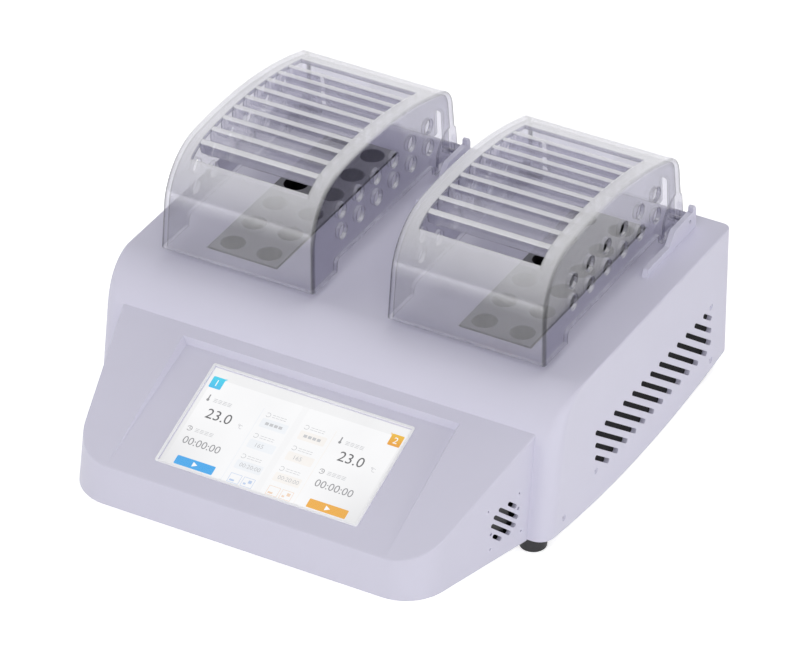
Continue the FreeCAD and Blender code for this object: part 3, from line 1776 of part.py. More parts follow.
def make_board_posts():
    """Posts on the tray under the control board, each with its screw's hole."""
    posts = []
    for x, y in board_post_spots():
        start = Vector(x, y, z_tray)
        end = Vector(x, y, z_tray + board_post_length)
        posts.append(rod(board_post_radius, start, end).cut(rod(small_screw_radius, start, end)))
    return posts


def make_board_screws():
    screws = []
    for x, y in board_post_spots():
        seat = Vector(x, y, z_tray + board_post_length + board_thickness)
        screws.append(pan_head_screw(z_axis * -1, seat, small_screw_radius, small_screw_head_radius,
                                     small_screw_head_height, board_thickness + board_post_length))
    return screws


def write_casing():
    save("main_housing", make_main_housing())
    save("base_tray", make_base_tray())
    save("rear_panel", make_rear_panel())
    save("console_shell", make_console_shell())
    save("case_screws", *make_side_screws(), *make_rear_screws())
    save("console_screws", *make_console_screws())
    save("vent_filter_left", make_vent_filter(-1))
    save("vent_filter_right", make_vent_filter(1))
    save("filter_nuts", *make_filter_nuts())
    names = ["foot_front_left", "foot_front_right", "foot_back_left", "foot_back_right"]
    for name, place in zip(names, foot_places()):
        save(name, make_foot(*place))
    save("foot_screws", *make_foot_screws())


def write_display():
    save("display_trim", make_display_trim())
    save("touch_glass", make_touch_glass())
    save("lcd_panel", make_lcd_panel())
    save("lcd_module", make_lcd_module())
    save("display_board", make_display_board())
    save("console_fan_frame", make_console_fan_frame())
    save("console_fan_rotor", make_console_fan_rotor())
    save("console_fan_screws", *make_console_fan_screws())


def write_zones():
    parts = {
        "heating_block": make_heating_block(),
        "heater_plate": make_heater_plate(),
        "insulation_jacket": make_insulation_jacket(),
        "block_pan": make_block_pan(),
        "temperature_probe": make_temperature_probe(),
        "thermal_cutout": cutout_solid(),
    }
    for name, shape in parts.items():
        save(name + "_a", in_zone(shape, -1))
        save(name + "_b", in_zone(shape, 1))
    save("block_standoffs", *make_block_standoffs())


def write_covers():
    cover = make_cover()
    for name, zone in (("a", -1), ("b", 1)):
        save("cover_" + name, in_cover_zone(cover, zone))
        for word, side in (("left", -1), ("right", 1)):
            save("hinge_bracket_" + name + "_" + word, in_cover_zone(make_hinge_bracket(side), zone))
    save("hinge_pins", *make_hinge_pins())
    save("bracket_screws", *make_bracket_screws())


def write_rear_fittings():
    save("fan_frame", make_fan_frame())
    save("fan_rotor", make_fan_rotor())
    save("fan_screws", *make_fan_screws())
    save("mains_inlet", make_mains_inlet())
    save("inlet_contacts", *contact_solids())
    save("fuse_drawer", make_fuse_drawer())
    save("fuse", make_fuse())
    save("switch_frame", make_switch_frame())
    save("switch_rocker", make_switch_rocker())


def write_electronics():
    save("power_supply", make_power_supply())
    save("relay_a", make_relay(-1))
    save("relay_b", make_relay(1))
    save("terminal_block", make_terminal_block())
    save("control_board", make_control_board())
    save("board_posts", *make_board_posts(), *make_display_posts())
    save("board_screws", *make_board_screws(), *make_display_screws())


os.makedirs("parts", exist_ok=True)
write_casing()
write_display()
write_zones()
write_covers()
write_rear_fittings()
write_electronics()
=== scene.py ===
import math

import bmesh
import bpy
from mathutils import Matrix, Vector
from mathutils.bvhtree import BVHTree


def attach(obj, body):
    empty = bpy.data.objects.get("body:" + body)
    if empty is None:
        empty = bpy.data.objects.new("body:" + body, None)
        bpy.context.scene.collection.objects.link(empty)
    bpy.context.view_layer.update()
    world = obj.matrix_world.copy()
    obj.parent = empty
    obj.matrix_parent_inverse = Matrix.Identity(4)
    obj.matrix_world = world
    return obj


# A bench digester with two drilled heating blocks, a hinged smoky cover over each, and a sloping console.
# Sizes are in millimetres and turned into metres by MM. Places use the CAD part's own measures: X to the
# right, Y to the back from the front edge of the flat top, Z up from the bench. The function at() turns
# them into the frame's.

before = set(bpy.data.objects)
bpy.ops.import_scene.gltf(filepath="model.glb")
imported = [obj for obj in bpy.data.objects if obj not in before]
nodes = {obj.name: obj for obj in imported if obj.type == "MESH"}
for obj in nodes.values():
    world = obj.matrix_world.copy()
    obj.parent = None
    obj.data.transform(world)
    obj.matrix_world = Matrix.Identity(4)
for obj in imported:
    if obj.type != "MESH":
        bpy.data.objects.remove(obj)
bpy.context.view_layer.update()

MM = 0.001
CASING = "casing"
Y_MIDDLE = 32.2225

# The covers' slats: how far the covers' middles are from the part's, where the slats begin and end, and what
# is left at the back of the painted sheen on their upright faces
COVER_OFFSET = 84.7
GRILLE_FRONT = 14.5
GRILLE_BACK = 158.0
GRILLE_WIDTH = 88.0
SLAT_SHEEN_FADE = 0.3

# The screen: its picture's size, how far up the slope it begins, the slope and its foot, and the height of
# the picture's lowest layer and of each further one
SCREEN_WIDTH = 146.0
SCREEN_HEIGHT = 79.0
SCREEN_OFFSET = 14.9
SCREEN_TURN = math.radians(21.1)
SCREEN_FOOT = (0.0, -139.25, 38.05)
PICTURE_LEVEL = -1.49
PICTURE_STEP = 0.03


def at(x, y, z):
    """A point of the part, in the frame's metres."""
    return Vector((x, y - Y_MIDDLE, z)) * MM


def add_object(name, data):
    """A new object in the scene."""
    thing = bpy.data.objects.new(name, data)
    bpy.context.scene.collection.objects.link(thing)
    return thing


# Nodes

def add_node(tree, kind, inputs=(), operation=None):
    """A new node whose inputs, given by name or number, are set to a value or linked to another's output."""
    node = tree.nodes.new(kind)
    if operation:
        node.operation = operation
    for key, value in inputs:
        if isinstance(value, bpy.types.NodeSocket):
            tree.links.new(value, node.inputs[key])
        else:
            node.inputs[key].default_value = value
    return node


def calculate(tree, operation, *values):
    """The output of a Math node, worked out from numbers or other nodes' outputs."""
    return add_node(tree, "ShaderNodeMath", enumerate(values), operation).outputs[0]


def number_ramp(tree, source, low, high, start=0.3, end=0.7):
    """A number between two, as the source goes from start to end."""
    node = add_node(tree, "ShaderNodeMapRange", (("Value", source), ("From Min", start), ("From Max", end),
                                                 ("To Min", low), ("To Max", high)))
    return node.outputs["Result"]


def colour_ramp(tree, source, low, high, start=0.3, end=0.7):
    """A colour between two, as the source goes from start to end."""
    node = add_node(tree, "ShaderNodeValToRGB", (("Fac", source),))
    for element, position, colour in zip(node.color_ramp.elements, (start, end), (low, high)):
        element.position = position
        element.color = (*colour, 1)
    return node.outputs["Color"]


def own_place(tree):
    """A point's place in the object's own coordinates."""
    return tree.nodes.new("ShaderNodeTexCoord").outputs["Object"]


def separate(tree, source):
    """The three outputs X, Y and Z of a vector."""
    return add_node(tree, "ShaderNodeSeparateXYZ", (("Vector", source),)).outputs


def noise(tree, scale, detail=2.0, roughness=0.5, stretch=None):
    """Noise over the object's own coordinates, stretched along its axes where asked."""
    source = own_place(tree)
    if stretch:
        source = add_node(tree, "ShaderNodeMapping",
                          (("Vector", source), ("Scale", stretch))).outputs["Vector"]
    return add_node(tree, "ShaderNodeTexNoise", (("Vector", source), ("Scale", scale), ("Detail", detail),
                                                 ("Roughness", roughness))).outputs["Fac"]


def background_rays(tree):
    """1 for rays that should meet a white background, of the camera, of gloss and of glass, or else 0."""
    path = tree.nodes.new("ShaderNodeLightPath").outputs
    either = calculate(tree, "MAXIMUM", path["Is Camera Ray"], path["Is Glossy Ray"])
    return calculate(tree, "MAXIMUM", either, path["Is Transmission Ray"])


def mix_into(tree, output, share, first, second):
    """Join two shaders by a share of the second and send them to the output."""
    mix = add_node(tree, "ShaderNodeMixShader", (("Fac", share), (1, first), (2, second)))
    tree.links.new(mix.outputs["Shader"], output.inputs["Surface"])


# Materials

# Plain surfaces: the scale of the slow drift, how far roughness strays, and how strong the fine relief is
DRIFT_SCALE = 25.0
WEAR = 0.05
GRAIN_STRENGTH = 0.35

# Clear plastic: the scales of the slow drift and the fine grain, how far roughness strays, and how far its
# tint and its sheen drift
PLASTIC_DRIFT_SCALE = 22.0
PLASTIC_GRAIN_SCALE = 240.0
PLASTIC_WEAR = 0.02
TINT_DRIFT = 0.015
SHEEN_DRIFT = 0.03

# The screen: its unlit surface, the scale of the drift of its back light, and where its lower corners dim,
# as shares of its width from the middle and of its height from the top
LIT_BASE = (0.01, 0.01, 0.01, 1)
LIT_ROUGHNESS = 0.35
LIT_SPECULAR = 0.2
LIT_DRIFT_SCALE = 35.0
DIM_ACROSS = (0.2, 0.5)
DIM_DOWN = (0.45, 1.0)


def new_material(name):
    """An empty node material with its output and a principled shader."""
    material = bpy.data.materials.new(name)
    material.use_nodes = True
    tree = material.node_tree
    tree.nodes.clear()
    output = tree.nodes.new("ShaderNodeOutputMaterial")
    shader = tree.nodes.new("ShaderNodeBsdfPrincipled")
    tree.links.new(shader.outputs["BSDF"], output.inputs["Surface"])
    return material, tree, output, shader


def shade(colour, factor):
    """A colour made lighter or darker by a factor."""
    return tuple(min(1.0, c * factor) for c in colour)


def srgb(red, green, blue):
    """Linear colour from a screen colour of 0 to 255."""
    return tuple((c / 255 / 12.92 if c < 10.3 else ((c / 255 + 0.055) / 1.055) ** 2.4)
                 for c in (red, green, blue))


def finish(name, colour, roughness=0.4, metallic=0.0, grain=900.0, grain_depth=0.00004, spread=0.06,
           stretch=None, specular=0.5):
    """A surface with slow colour drift, fine grain, and roughness that varies with the grain."""
    material, tree, _, shader = new_material(name)
    drift = noise(tree, DRIFT_SCALE, 3.0, 0.55)
    fine = noise(tree, grain, stretch=stretch)
    tree.links.new(colour_ramp(tree, drift, shade(colour, 1 - spread / 2), shade(colour, 1 + spread / 2)),
                   shader.inputs["Base Color"])
    tree.links.new(number_ramp(tree, fine, max(0.02, roughness - WEAR), min(1.0, roughness + WEAR)),
                   shader.inputs["Roughness"])
    shader.inputs["Metallic"].default_value = metallic
    shader.inputs["Specular IOR Level"].default_value = specular
    relief = add_node(tree, "ShaderNodeBump", (("Height", fine), ("Strength", GRAIN_STRENGTH),
                                               ("Distance", grain_depth)))
    tree.links.new(relief.outputs["Normal"], shader.inputs["Normal"])
    return material


def painted_slat_sheen_mask(tree, normal):
    """Where the slats' painted sheen goes: how much a place belongs to a front or back face of a slat, most
    at the front, from 0 to 1.
    """
    place = separate(tree, own_place(tree))
    from_cover = calculate(tree, "SUBTRACT", calculate(tree, "ABSOLUTE", place["X"]), COVER_OFFSET * MM)
    inside = calculate(tree, "LESS_THAN", calculate(tree, "ABSOLUTE", from_cover), GRILLE_WIDTH / 2 * MM)
    middle = ((GRILLE_FRONT + GRILLE_BACK) / 2 - Y_MIDDLE) * MM
    along = calculate(tree, "ABSOLUTE", calculate(tree, "SUBTRACT", place["Y"], middle))
    within = calculate(tree, "LESS_THAN", along, (GRILLE_BACK - GRILLE_FRONT) / 2 * MM)
    fade = number_ramp(tree, place["Y"], 1.0, SLAT_SHEEN_FADE, (GRILLE_FRONT - Y_MIDDLE) * MM,
                       (GRILLE_BACK - Y_MIDDLE) * MM)
    share = calculate(tree, "ABSOLUTE", normal["Y"])
    for factor in (inside, within, fade):
        share = calculate(tree, "MULTIPLY", share, factor)
    return share


def painted_corner_shade(tree, colour, normal, rim):
    """A colour with painted shade, less bright where the surface turns from front to side."""
    corner = calculate(tree, "MULTIPLY", *(calculate(tree, "ABSOLUTE", normal[axis]) for axis in "XY"))
    left = calculate(tree, "MULTIPLY_ADD", corner, -rim, 1.0)
    return add_node(tree, "ShaderNodeVectorMath", ((0, colour), ("Scale", left)), "SCALE").outputs["Vector"]


def clear_plastic(name, tint, sheen, roughness, least, most, power, painted_top_sheen=0.0, edge=0.0006, bars=0.0, rim=0.0):
    """Clear moulded plastic: tinted see-through, with a sheen that grows as a face turns away.

    The sheen's share goes from least to most by a power. haze is the further share of faces that look up,
    a painted reflection of a brighter sky; bars that of the slats' upright faces, a painted sheen that fades
    towards the back; edge the softening of the edges in metres; and rim how much the upright corners
    darken, a painted shade.
    """
    material, tree, output, shader = new_material(name)
    soft_edge = add_node(tree, "ShaderNodeBevel", (("Radius", edge),))
    soft_edge.samples = 4
    normal = soft_edge.outputs["Normal"]
    parts = separate(tree, normal)
    drift = noise(tree, PLASTIC_DRIFT_SCALE)
    fine = noise(tree, PLASTIC_GRAIN_SCALE)
    through = colour_ramp(tree, drift, shade(tint, 1 - TINT_DRIFT), shade(tint, 1 + TINT_DRIFT))
    mirrored = colour_ramp(tree, drift, shade(sheen, 1 - SHEEN_DRIFT), shade(sheen, 1 + SHEEN_DRIFT))
    # Painted shade: the see-through and the sheen both darken where the upright corners turn.
    if rim:
        through = painted_corner_shade(tree, through, parts, rim)
        mirrored = painted_corner_shade(tree, mirrored, parts, rim)
    tree.links.new(mirrored, shader.inputs["Base Color"])
    tree.links.new(number_ramp(tree, fine, max(0.01, roughness - PLASTIC_WEAR), roughness + PLASTIC_WEAR),
                   shader.inputs["Roughness"])
    tree.links.new(normal, shader.inputs["Normal"])
    shader.inputs["Metallic"].default_value = 1.0
    weight = add_node(tree, "ShaderNodeLayerWeight", (("Blend", 0.5), ("Normal", normal)))
    facing = calculate(tree, "POWER", weight.outputs["Facing"], power)
    turned = number_ramp(tree, facing, least, most, 0.0, 1.0)
    # Painted reflection: faces that look up get a larger share of the mirror, as if a brighter sky were
    # above.
    painted_sheen = number_ramp(tree, calculate(tree, "ABSOLUTE", parts["Z"]), 0.0, painted_top_sheen, 0.0, 1.0)
    # Painted sheen on the slats' upright faces, fading towards the back.
    if bars:
        painted_sheen = calculate(tree, "MULTIPLY_ADD", painted_slat_sheen_mask(tree, parts), bars, painted_sheen)
    total = calculate(tree, "ADD", painted_sheen, turned)
    total.node.use_clamp = True
    see = add_node(tree, "ShaderNodeBsdfTransparent", (("Color", through),))
    mix_into(tree, output, total, see.outputs["BSDF"], shader.outputs["BSDF"])
    return material


def screen_axes(tree):
    """How far a point is from the screen's middle line, and how far down the screen it is."""
    place = own_place(tree)
    across = calculate(tree, "ABSOLUTE", separate(tree, place)["X"])
    uphill = Vector((0.0, math.cos(SCREEN_TURN), math.sin(SCREEN_TURN)))
    slope = add_node(tree, "ShaderNodeVectorMath", ((0, place), (1, uphill)), "DOT_PRODUCT")
    top = at(*SCREEN_FOOT).dot(uphill) + (SCREEN_OFFSET + SCREEN_HEIGHT) * MM
    return across, calculate(tree, "SUBTRACT", top, slope.outputs["Value"])


def lit(name, colour, spread=0.02, low=None, rows=None, dim=0.0):
    """A lit part of the screen, with faint unevenness of its back light.

    low is the colour that it blends to between two rows, and dim what the lower corners lose.
    """
    material, tree, _, shader = new_material(name)
    shader.inputs["Base Color"].default_value = LIT_BASE
    shader.inputs["Roughness"].default_value = LIT_ROUGHNESS
    shader.inputs["Specular IOR Level"].default_value = LIT_SPECULAR
    shader.inputs["Emission Strength"].default_value = 1.0
    drift = noise(tree, LIT_DRIFT_SCALE)
    tone = colour_ramp(tree, drift, shade(colour, 1 - spread), shade(colour, 1 + spread))
    across, down = screen_axes(tree)
    if low:
        blend = tree.nodes.new("ShaderNodeMix")
        blend.data_type = "RGBA"
        blend.inputs["B"].default_value = (*low, 1)
        tree.links.new(number_ramp(tree, down, 0.0, 1.0, rows[0] * MM, rows[1] * MM), blend.inputs["Factor"])
        tree.links.new(tone, blend.inputs["A"])
        tone = blend.outputs["Result"]
    if dim:
        outward = number_ramp(tree, across, 0.0, 1.0, *(part * SCREEN_WIDTH * MM for part in DIM_ACROSS))
        lower = number_ramp(tree, down, 0.0, 1.0, *(part * SCREEN_HEIGHT * MM for part in DIM_DOWN))
        corner = calculate(tree, "MULTIPLY", outward, lower)
        tree.links.new(number_ramp(tree, corner, 1.0, 1.0 - dim, 0.0, 1.0),
                       shader.inputs["Emission Strength"])
    tree.links.new(tone, shader.inputs["Emission Color"])
    return material


LAVENDER = (0.652, 0.639, 0.759)
paint = finish("casing_paint", LAVENDER, 0.42, grain=1500.0, grain_depth=0.00003, spread=0.015, specular=0.4)
# The console's lavender is darkened a little, a painted shade that makes its slope darker than the top.
console_shaded_plastic = finish("console_plastic", shade(LAVENDER, 0.97), 0.4, grain=1700.0, grain_depth=0.00003,
                        spread=0.015, specular=0.4)
rubber = finish("black_rubber", (0.018, 0.018, 0.02), 0.62, grain=700.0, grain_depth=0.0001, spread=0.3)
steel = finish("plain_steel", (0.60, 0.60, 0.62), 0.32, 1.0, grain=500.0, grain_depth=0.00002, spread=0.1)
sheet_steel = finish("sheet_steel", (0.62, 0.62, 0.64), 0.38, 1.0, grain=350.0, grain_depth=0.00002,
                     spread=0.12, stretch=(1, 12, 1))
anodised = finish("anodised_block", (0.19, 0.19, 0.195), 0.34, 1.0, grain=420.0, grain_depth=0.00002,
                  spread=0.08, stretch=(14, 1, 14))
polished_pin = finish("polished_pin", (0.72, 0.72, 0.74), 0.16, 1.0, grain=300.0, grain_depth=0.00001)
black_moulding = finish("black_moulding", (0.014, 0.014, 0.015), 0.42, grain=1100.0, grain_depth=0.00005,
                        spread=0.25)
black_gloss = finish("black_gloss", (0.012, 0.012, 0.013), 0.18, grain=300.0, grain_depth=0.00001, spread=0.2)
foam = finish("filter_foam", (0.008, 0.008, 0.009), 0.95, grain=1400.0, grain_depth=0.0008, spread=0.6)
fibre = finish("insulation_fibre", (0.72, 0.69, 0.60), 0.9, grain=260.0, grain_depth=0.0004, spread=0.2)
cast = finish("cast_aluminium", (0.52, 0.52, 0.53), 0.5, 1.0, grain=520.0, grain_depth=0.00012, spread=0.15)
board = finish("board_green", (0.015, 0.11, 0.045), 0.35, grain=180.0, grain_depth=0.00003, spread=0.3)
brass = finish("brass", (0.78, 0.56, 0.24), 0.28, 1.0, grain=400.0, grain_depth=0.00002, spread=0.1)
ivory = finish("terminal_plastic", (0.70, 0.66, 0.54), 0.5, grain=700.0, spread=0.1)
marking = finish("marking", (0.78, 0.78, 0.77), 0.5, grain_depth=0.00001)
trim = finish("trim_plastic", (0.90, 0.90, 0.93), 0.35, spread=0.03)
# The covers: painted reflection on faces that look up, painted sheen on the slats' upright faces, and painted
# shade at their upright corners.
smoky = clear_plastic("smoky_clear", (0.798, 0.793, 0.838), (0.86, 0.86, 0.875), 0.12, 0.085, 0.8, 4.8,
                      painted_top_sheen=0.46, edge=0.0012, bars=0.36, rim=1.1)
glass = clear_plastic("screen_glass", (0.995, 0.995, 1.0), (0.9, 0.9, 0.92), 0.06, 0.01, 0.3, 3.0)
fuse_glass = clear_plastic("fuse_glass", (0.97, 0.985, 0.98), (0.9, 0.9, 0.9), 0.04, 0.05, 0.7, 2.0)
screen_ground = lit("screen_ground", srgb(240, 240, 241), dim=0.1)
screen_card = lit("screen_card", srgb(248, 248, 249), spread=0.01, dim=0.16)
screen_between = lit("screen_middle", srgb(245, 245, 246), spread=0.01, dim=0.1)
screen_dark = lit("screen_dark", srgb(104, 104, 106))
screen_grey = lit("screen_grey", srgb(150, 150, 153))
screen_pale = lit("screen_pale", srgb(198, 199, 202))
screen_white = lit("screen_white", srgb(250, 252, 253), spread=0.01)

NODE_MATERIALS = {
    paint: ["main_housing", "hinge_bracket_a_left", "hinge_bracket_a_right", "hinge_bracket_b_left",
            "hinge_bracket_b_right", "rear_panel", "case_screws", "console_fan_screws"],
    console_shaded_plastic: ["console_shell"],
    sheet_steel: ["base_tray", "lcd_module", "power_supply", "block_pan_a", "block_pan_b"],
    steel: ["console_screws", "filter_nuts", "foot_screws", "board_screws", "fan_screws", "bracket_screws",
            "temperature_probe_a", "temperature_probe_b"],
    rubber: ["foot_front_left", "foot_front_right", "foot_back_left", "foot_back_right"],
    foam: ["vent_filter_left", "vent_filter_right"],
    trim: ["display_trim"],
    glass: ["touch_glass"],
    screen_ground: ["lcd_panel"],
    board: ["display_board", "control_board"],
    anodised: ["heating_block_a", "heating_block_b"],
    cast: ["heater_plate_a", "heater_plate_b"],
    fibre: ["insulation_jacket_a", "insulation_jacket_b"],
    black_moulding: ["fan_frame", "fan_rotor", "console_fan_frame", "console_fan_rotor", "mains_inlet",
                     "fuse_drawer", "switch_frame", "relay_a", "relay_b", "thermal_cutout_a",
                     "thermal_cutout_b"],
    black_gloss: ["switch_rocker"],
    polished_pin: ["hinge_pins"],
    brass: ["block_standoffs", "inlet_contacts", "board_posts"],
    fuse_glass: ["fuse"],
    ivory: ["terminal_block"],
    smoky: ["cover_a", "cover_b"],
}
for material, names in NODE_MATERIALS.items():
    for name in names:
        mesh = nodes[name].data
        mesh.materials.clear()
        mesh.materials.append(material)


# Outlines of flat marks, as lists of points in millimetres

# Steps in a rounded corner, points of a disc, and degrees in each short piece of a round line
CORNER_STEPS = 4
DISC_POINTS = 20
LINE_TURN = 18


def on_circle(u, v, radius, angle):
    """A point of a circle."""
    return u + radius * math.cos(angle), v + radius * math.sin(angle)


def plate(left, right, top, bottom, radius=0.0):
    """Outline of a rectangle, with rounded corners where a radius is given."""
    if radius == 0:
        return [(left, top), (right, top), (right, bottom), (left, bottom)]
    points = []
    for u, v, start in ((right - radius, top + radius, -90), (right - radius, bottom - radius, 0),
                        (left + radius, bottom - radius, 90), (left + radius, top + radius, 180)):
        points += [on_circle(u, v, radius, math.radians(start + 90 * step / CORNER_STEPS))
                   for step in range(CORNER_STEPS + 1)]
    return points


def disc(u, v, radius):
    """Outline of a disc."""
    return [on_circle(u, v, radius, math.tau * i / DISC_POINTS) for i in range(DISC_POINTS)]


def ring(u, v, radius, width, start=0.0, turn=360.0):
    """Outlines of a round line, as short plates end to end."""
    count = max(6, int(turn / LINE_TURN))
    bounds = [math.radians(start + turn * i / count) for i in range(count + 1)]
    return [[on_circle(u, v, radius, a), on_circle(u, v, radius, b),
             on_circle(u, v, radius - width, b), on_circle(u, v, radius - width, a)]
            for a, b in zip(bounds, bounds[1:])]


def box_lines(left, right, top, bottom, width):
    """Outlines of a rectangle drawn as a line."""
    return [plate(left, right, top, top + width), plate(left, right, bottom - width, bottom),
            plate(left, left + width, top + width, bottom - width),
            plate(right - width, right, top + width, bottom - width)]


def text_bars(left, row, words, half_height, *offsets):
    """Short bars, at each offset from a row, that stand for its words, given by their starts and ends."""
    return [plate(left + start, left + end, row + offset - half_height, row + offset + half_height)
            for start, end in words for offset in offsets]


def thin_piece(name, material, outlines, place, low, high):
    """An object of thin plates with the given outlines, between two levels of a place function."""
    form = bmesh.new()
    for outline in outlines:
        under, over = ([form.verts.new(place(u, v, level)) for u, v in outline] for level in (low, high))
        form.faces.new(over)
        form.faces.new(under[::-1])
        for i in range(len(outline)):
            j = (i + 1) % len(outline)
            form.faces.new((under[i], under[j], over[j], over[i]))
    bmesh.ops.recalc_face_normals(form, faces=form.faces)
    mesh = bpy.data.meshes.new(name)
    form.to_mesh(mesh)
    form.free()
    mesh.materials.append(material)
    return add_object(name, mesh)


# Screen picture: plain marks and numbers, laid out in millimetres from the screen's upper left corner

PLATE_THICKNESS = 0.8  # as a share of a layer
CARD_TOP, CARD_BOTTOM = 8.0, 78.2
BADGE_TOP, BADGE_SIZE = 6.6, (8.8, 9.0)
BADGE_ROWS = (7.0, 15.0)
BUTTON_TOP, BUTTON_BOTTOM = 70.4, 77.2
TREND_TOP, TREND_BOTTOM = 70.4, 77.6
CAPTION_ROWS = (24.0, 49.2)
CAPTION_WORDS = ((11.4, 14.2), (14.9, 17.6), (18.3, 21.1), (21.8, 24.6))
FIELD_ROWS = ((25.0, 32.1), (42.3, 49.2), (59.6, 66.5))
HEADING_ROWS = (21.9, 39.2, 56.3)
HEADING_WORDS = ((54.2, 56.6), (57.1, 59.3), (59.9, 62.1), (62.6, 64.4))

screen_place = (Matrix.Translation(at(*SCREEN_FOOT)) @ Matrix.Rotation(SCREEN_TURN, 4, "X")
                @ Matrix.Scale(MM, 4))


def screen_spot(across, down, layer):
    """A place on the screen, in millimetres from the middle of the slope's foot."""
    return Vector((across - SCREEN_WIDTH / 2, SCREEN_OFFSET + SCREEN_HEIGHT - down,
                   PICTURE_LEVEL + PICTURE_STEP * layer))


def on_screen(across, down, layer):
    """A place on the screen, in the frame's metres."""
    return screen_place @ screen_spot(across, down, layer)


def screen_piece(name, material, outlines, layer):
    """One piece of the picture: thin plates with the given outlines."""
    piece = thin_piece(name, material, outlines, on_screen, layer, layer + PLATE_THICKNESS)
    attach(piece, CASING)


def numbers(name, words, left, base, size, material, layer):
    """Plain numbers in the picture, from Blender's own font."""
    curve = bpy.data.curves.new(name, "FONT")
    curve.body = words
    curve.size = size
    curve.extrude = PICTURE_STEP / 3
    curve.resolution_u = 3
    holder = add_object(name, curve)
    bpy.context.view_layer.update()
    mesh = bpy.data.meshes.new_from_object(holder)
    bpy.data.objects.remove(holder)
    mesh.transform(screen_place @ Matrix.Translation(screen_spot(left, base, layer + 0.5)))
    mesh.materials.clear()
    mesh.materials.append(material)
    piece = add_object(name, mesh)
    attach(piece, CASING)


def draw_zone(name, number, tone_name, tones, main, side, badge, button, line, card, fold):
    """One zone's half of the picture.

    main and side are how far its main and side columns stand to the right of the left half's, badge and
    button where those stand, line the line between its columns, card the card's left and right edge, and
    fold the badge's folded corner.
    """
    strong, light, faint, tab = (lit(tone_name + "_" + kind, srgb(*tones[kind]))
                                 for kind in ("strong", "light", "faint", "tab"))
    badge_tone = lit(tone_name + "_badge", srgb(*tones["badge"]), low=srgb(*tones["badge_low"]),
                     rows=BADGE_ROWS)
    arrow = button + 24.4
    screen_piece(name + "_card", screen_card, [plate(*card, CARD_TOP, CARD_BOTTOM, 1.0)], 0)
    screen_piece(name + "_badge", badge_tone, [plate(badge, badge + BADGE_SIZE[0], BADGE_TOP,
                                                     BADGE_TOP + BADGE_SIZE[1], 0.8)], 1)
    screen_piece(name + "_badge_fold", tab, [fold], 1)
    screen_piece(name + "_button", strong,
                 [plate(button + 10.2, button + 38.6, BUTTON_TOP, BUTTON_BOTTOM, 0.7)], 1)
    screen_piece(name + "_start_mark", screen_white, [[(arrow - 1.6, 71.9), (arrow + 2.0, 73.8),
                                                       (arrow - 1.6, 75.7)]], 2)
    numbers(name + "_number", number, badge + 2.6, 13.6, 7.0, screen_white, 2)
    numbers(name + "_temperature", "23.0", main + 11.6, 38.1, 11.0, screen_dark, 1)
    numbers(name + "_clock", "00:00:00", main + 7.1, 60.9, 8.1, screen_grey, 1)
    thermometer = [plate(main + 7.05, main + 7.95, 20.6, 24.4, 0.4), disc(main + 7.5, 24.9, 1.05)]
    dial = ring(main + 7.1, 49.1, 2.0, 0.45, 200, 300)
    hands = [plate(main + 6.9, main + 7.3, 47.8, 49.4), plate(main + 6.9, main + 8.3, 49.0, 49.4)]
    screen_piece(name + "_main_icons", screen_grey, thermometer + dial + hands, 1)
    screen_piece(name + "_degree", screen_pale,
                 ring(main + 36.9, 35.5, 0.7, 0.3) + ring(main + 38.7, 36.9, 1.5, 0.35, 50, 260), 1)
    captions = [bar for row in CAPTION_ROWS
                for bar in text_bars(main, row, CAPTION_WORDS, 0.2, -1.1, 0.0, 1.1)]
    screen_piece(name + "_captions", screen_pale, captions, 1)
    screen_piece(name + "_divider", faint, [plate(line, line + 0.5, 18.0, 78.0)], 1)
    screen_piece(name + "_fields", faint,
                 [plate(side + 49.0, side + 68.4, *rows, 0.9) for rows in FIELD_ROWS], 1)
    headings = [mark for row in HEADING_ROWS
                for mark in ring(side + 51.2, row, 1.8, 0.4, 220, 290)
                + text_bars(side, row, HEADING_WORDS, 0.175, -0.825, 0.825)]
    screen_piece(name + "_column_marks", screen_pale, headings, 1)
    numbers(name + "_setting", "165", side + 53.6, 47.4, 4.6, screen_pale, 2)
    numbers(name + "_set_clock", "00:20:00", side + 51.8, 64.4, 4.5, screen_pale, 2)
    screen_piece(name + "_mode_mark", screen_pale,
                 [plate(side + 52.4 + 3.3 * i, side + 54.9 + 3.3 * i, 27.4, 29.6) for i in range(4)], 2)
    screen_piece(name + "_trend_marks", light,
                 box_lines(side + 50.0, side + 58.3, TREND_TOP, TREND_BOTTOM, 0.3)
                 + box_lines(side + 59.8, side + 68.0, TREND_TOP, TREND_BOTTOM, 0.3)
                 + [plate(side + 51.2, side + 54.6, 75.0, 76.4), plate(side + 61.2, side + 63.0, 74.6, 76.0),
                    plate(side + 64.0, side + 66.4, 72.0, 74.4)], 1)


draw_zone("zone_one", "1", "screen_blue",
          {"strong": (75, 170, 235), "light": (190, 208, 236), "faint": (240, 243, 247),
           "tab": (131, 213, 237), "badge": (71, 208, 235), "badge_low": (75, 191, 235)},
          main=0.0, side=0.0, badge=2.5, button=0.0, line=45.8, card=(3.0, 69.8),
          fold=[(11.0, 6.4), (12.8, 6.4), (11.0, 8.6)])
draw_zone("zone_two", "2", "screen_amber",
          {"strong": (236, 174, 76), "light": (240, 212, 188), "faint": (247, 243, 239),
           "tab": (240, 205, 140), "badge": (235, 187, 67), "badge_low": (234, 162, 64)},
          main=98.0, side=28.4, badge=135.0, button=97.9, line=99.3, card=(74.5, 143.5),
          fold=[(133.4, 6.4), (135.0, 6.4), (135.0, 8.6)])
screen_piece("screen_middle", screen_between, [plate(69.8, 74.5, CARD_TOP, CARD_BOTTOM)], 0)

# The rocker's two marks, a bar and a ring, printed on its bent face

MARK_HEIGHT = 2.6
MARK_WIDTH = 0.5
MARK_LAYER = 0.05
BAR_PARTS = 4
RAY_START = 10.0

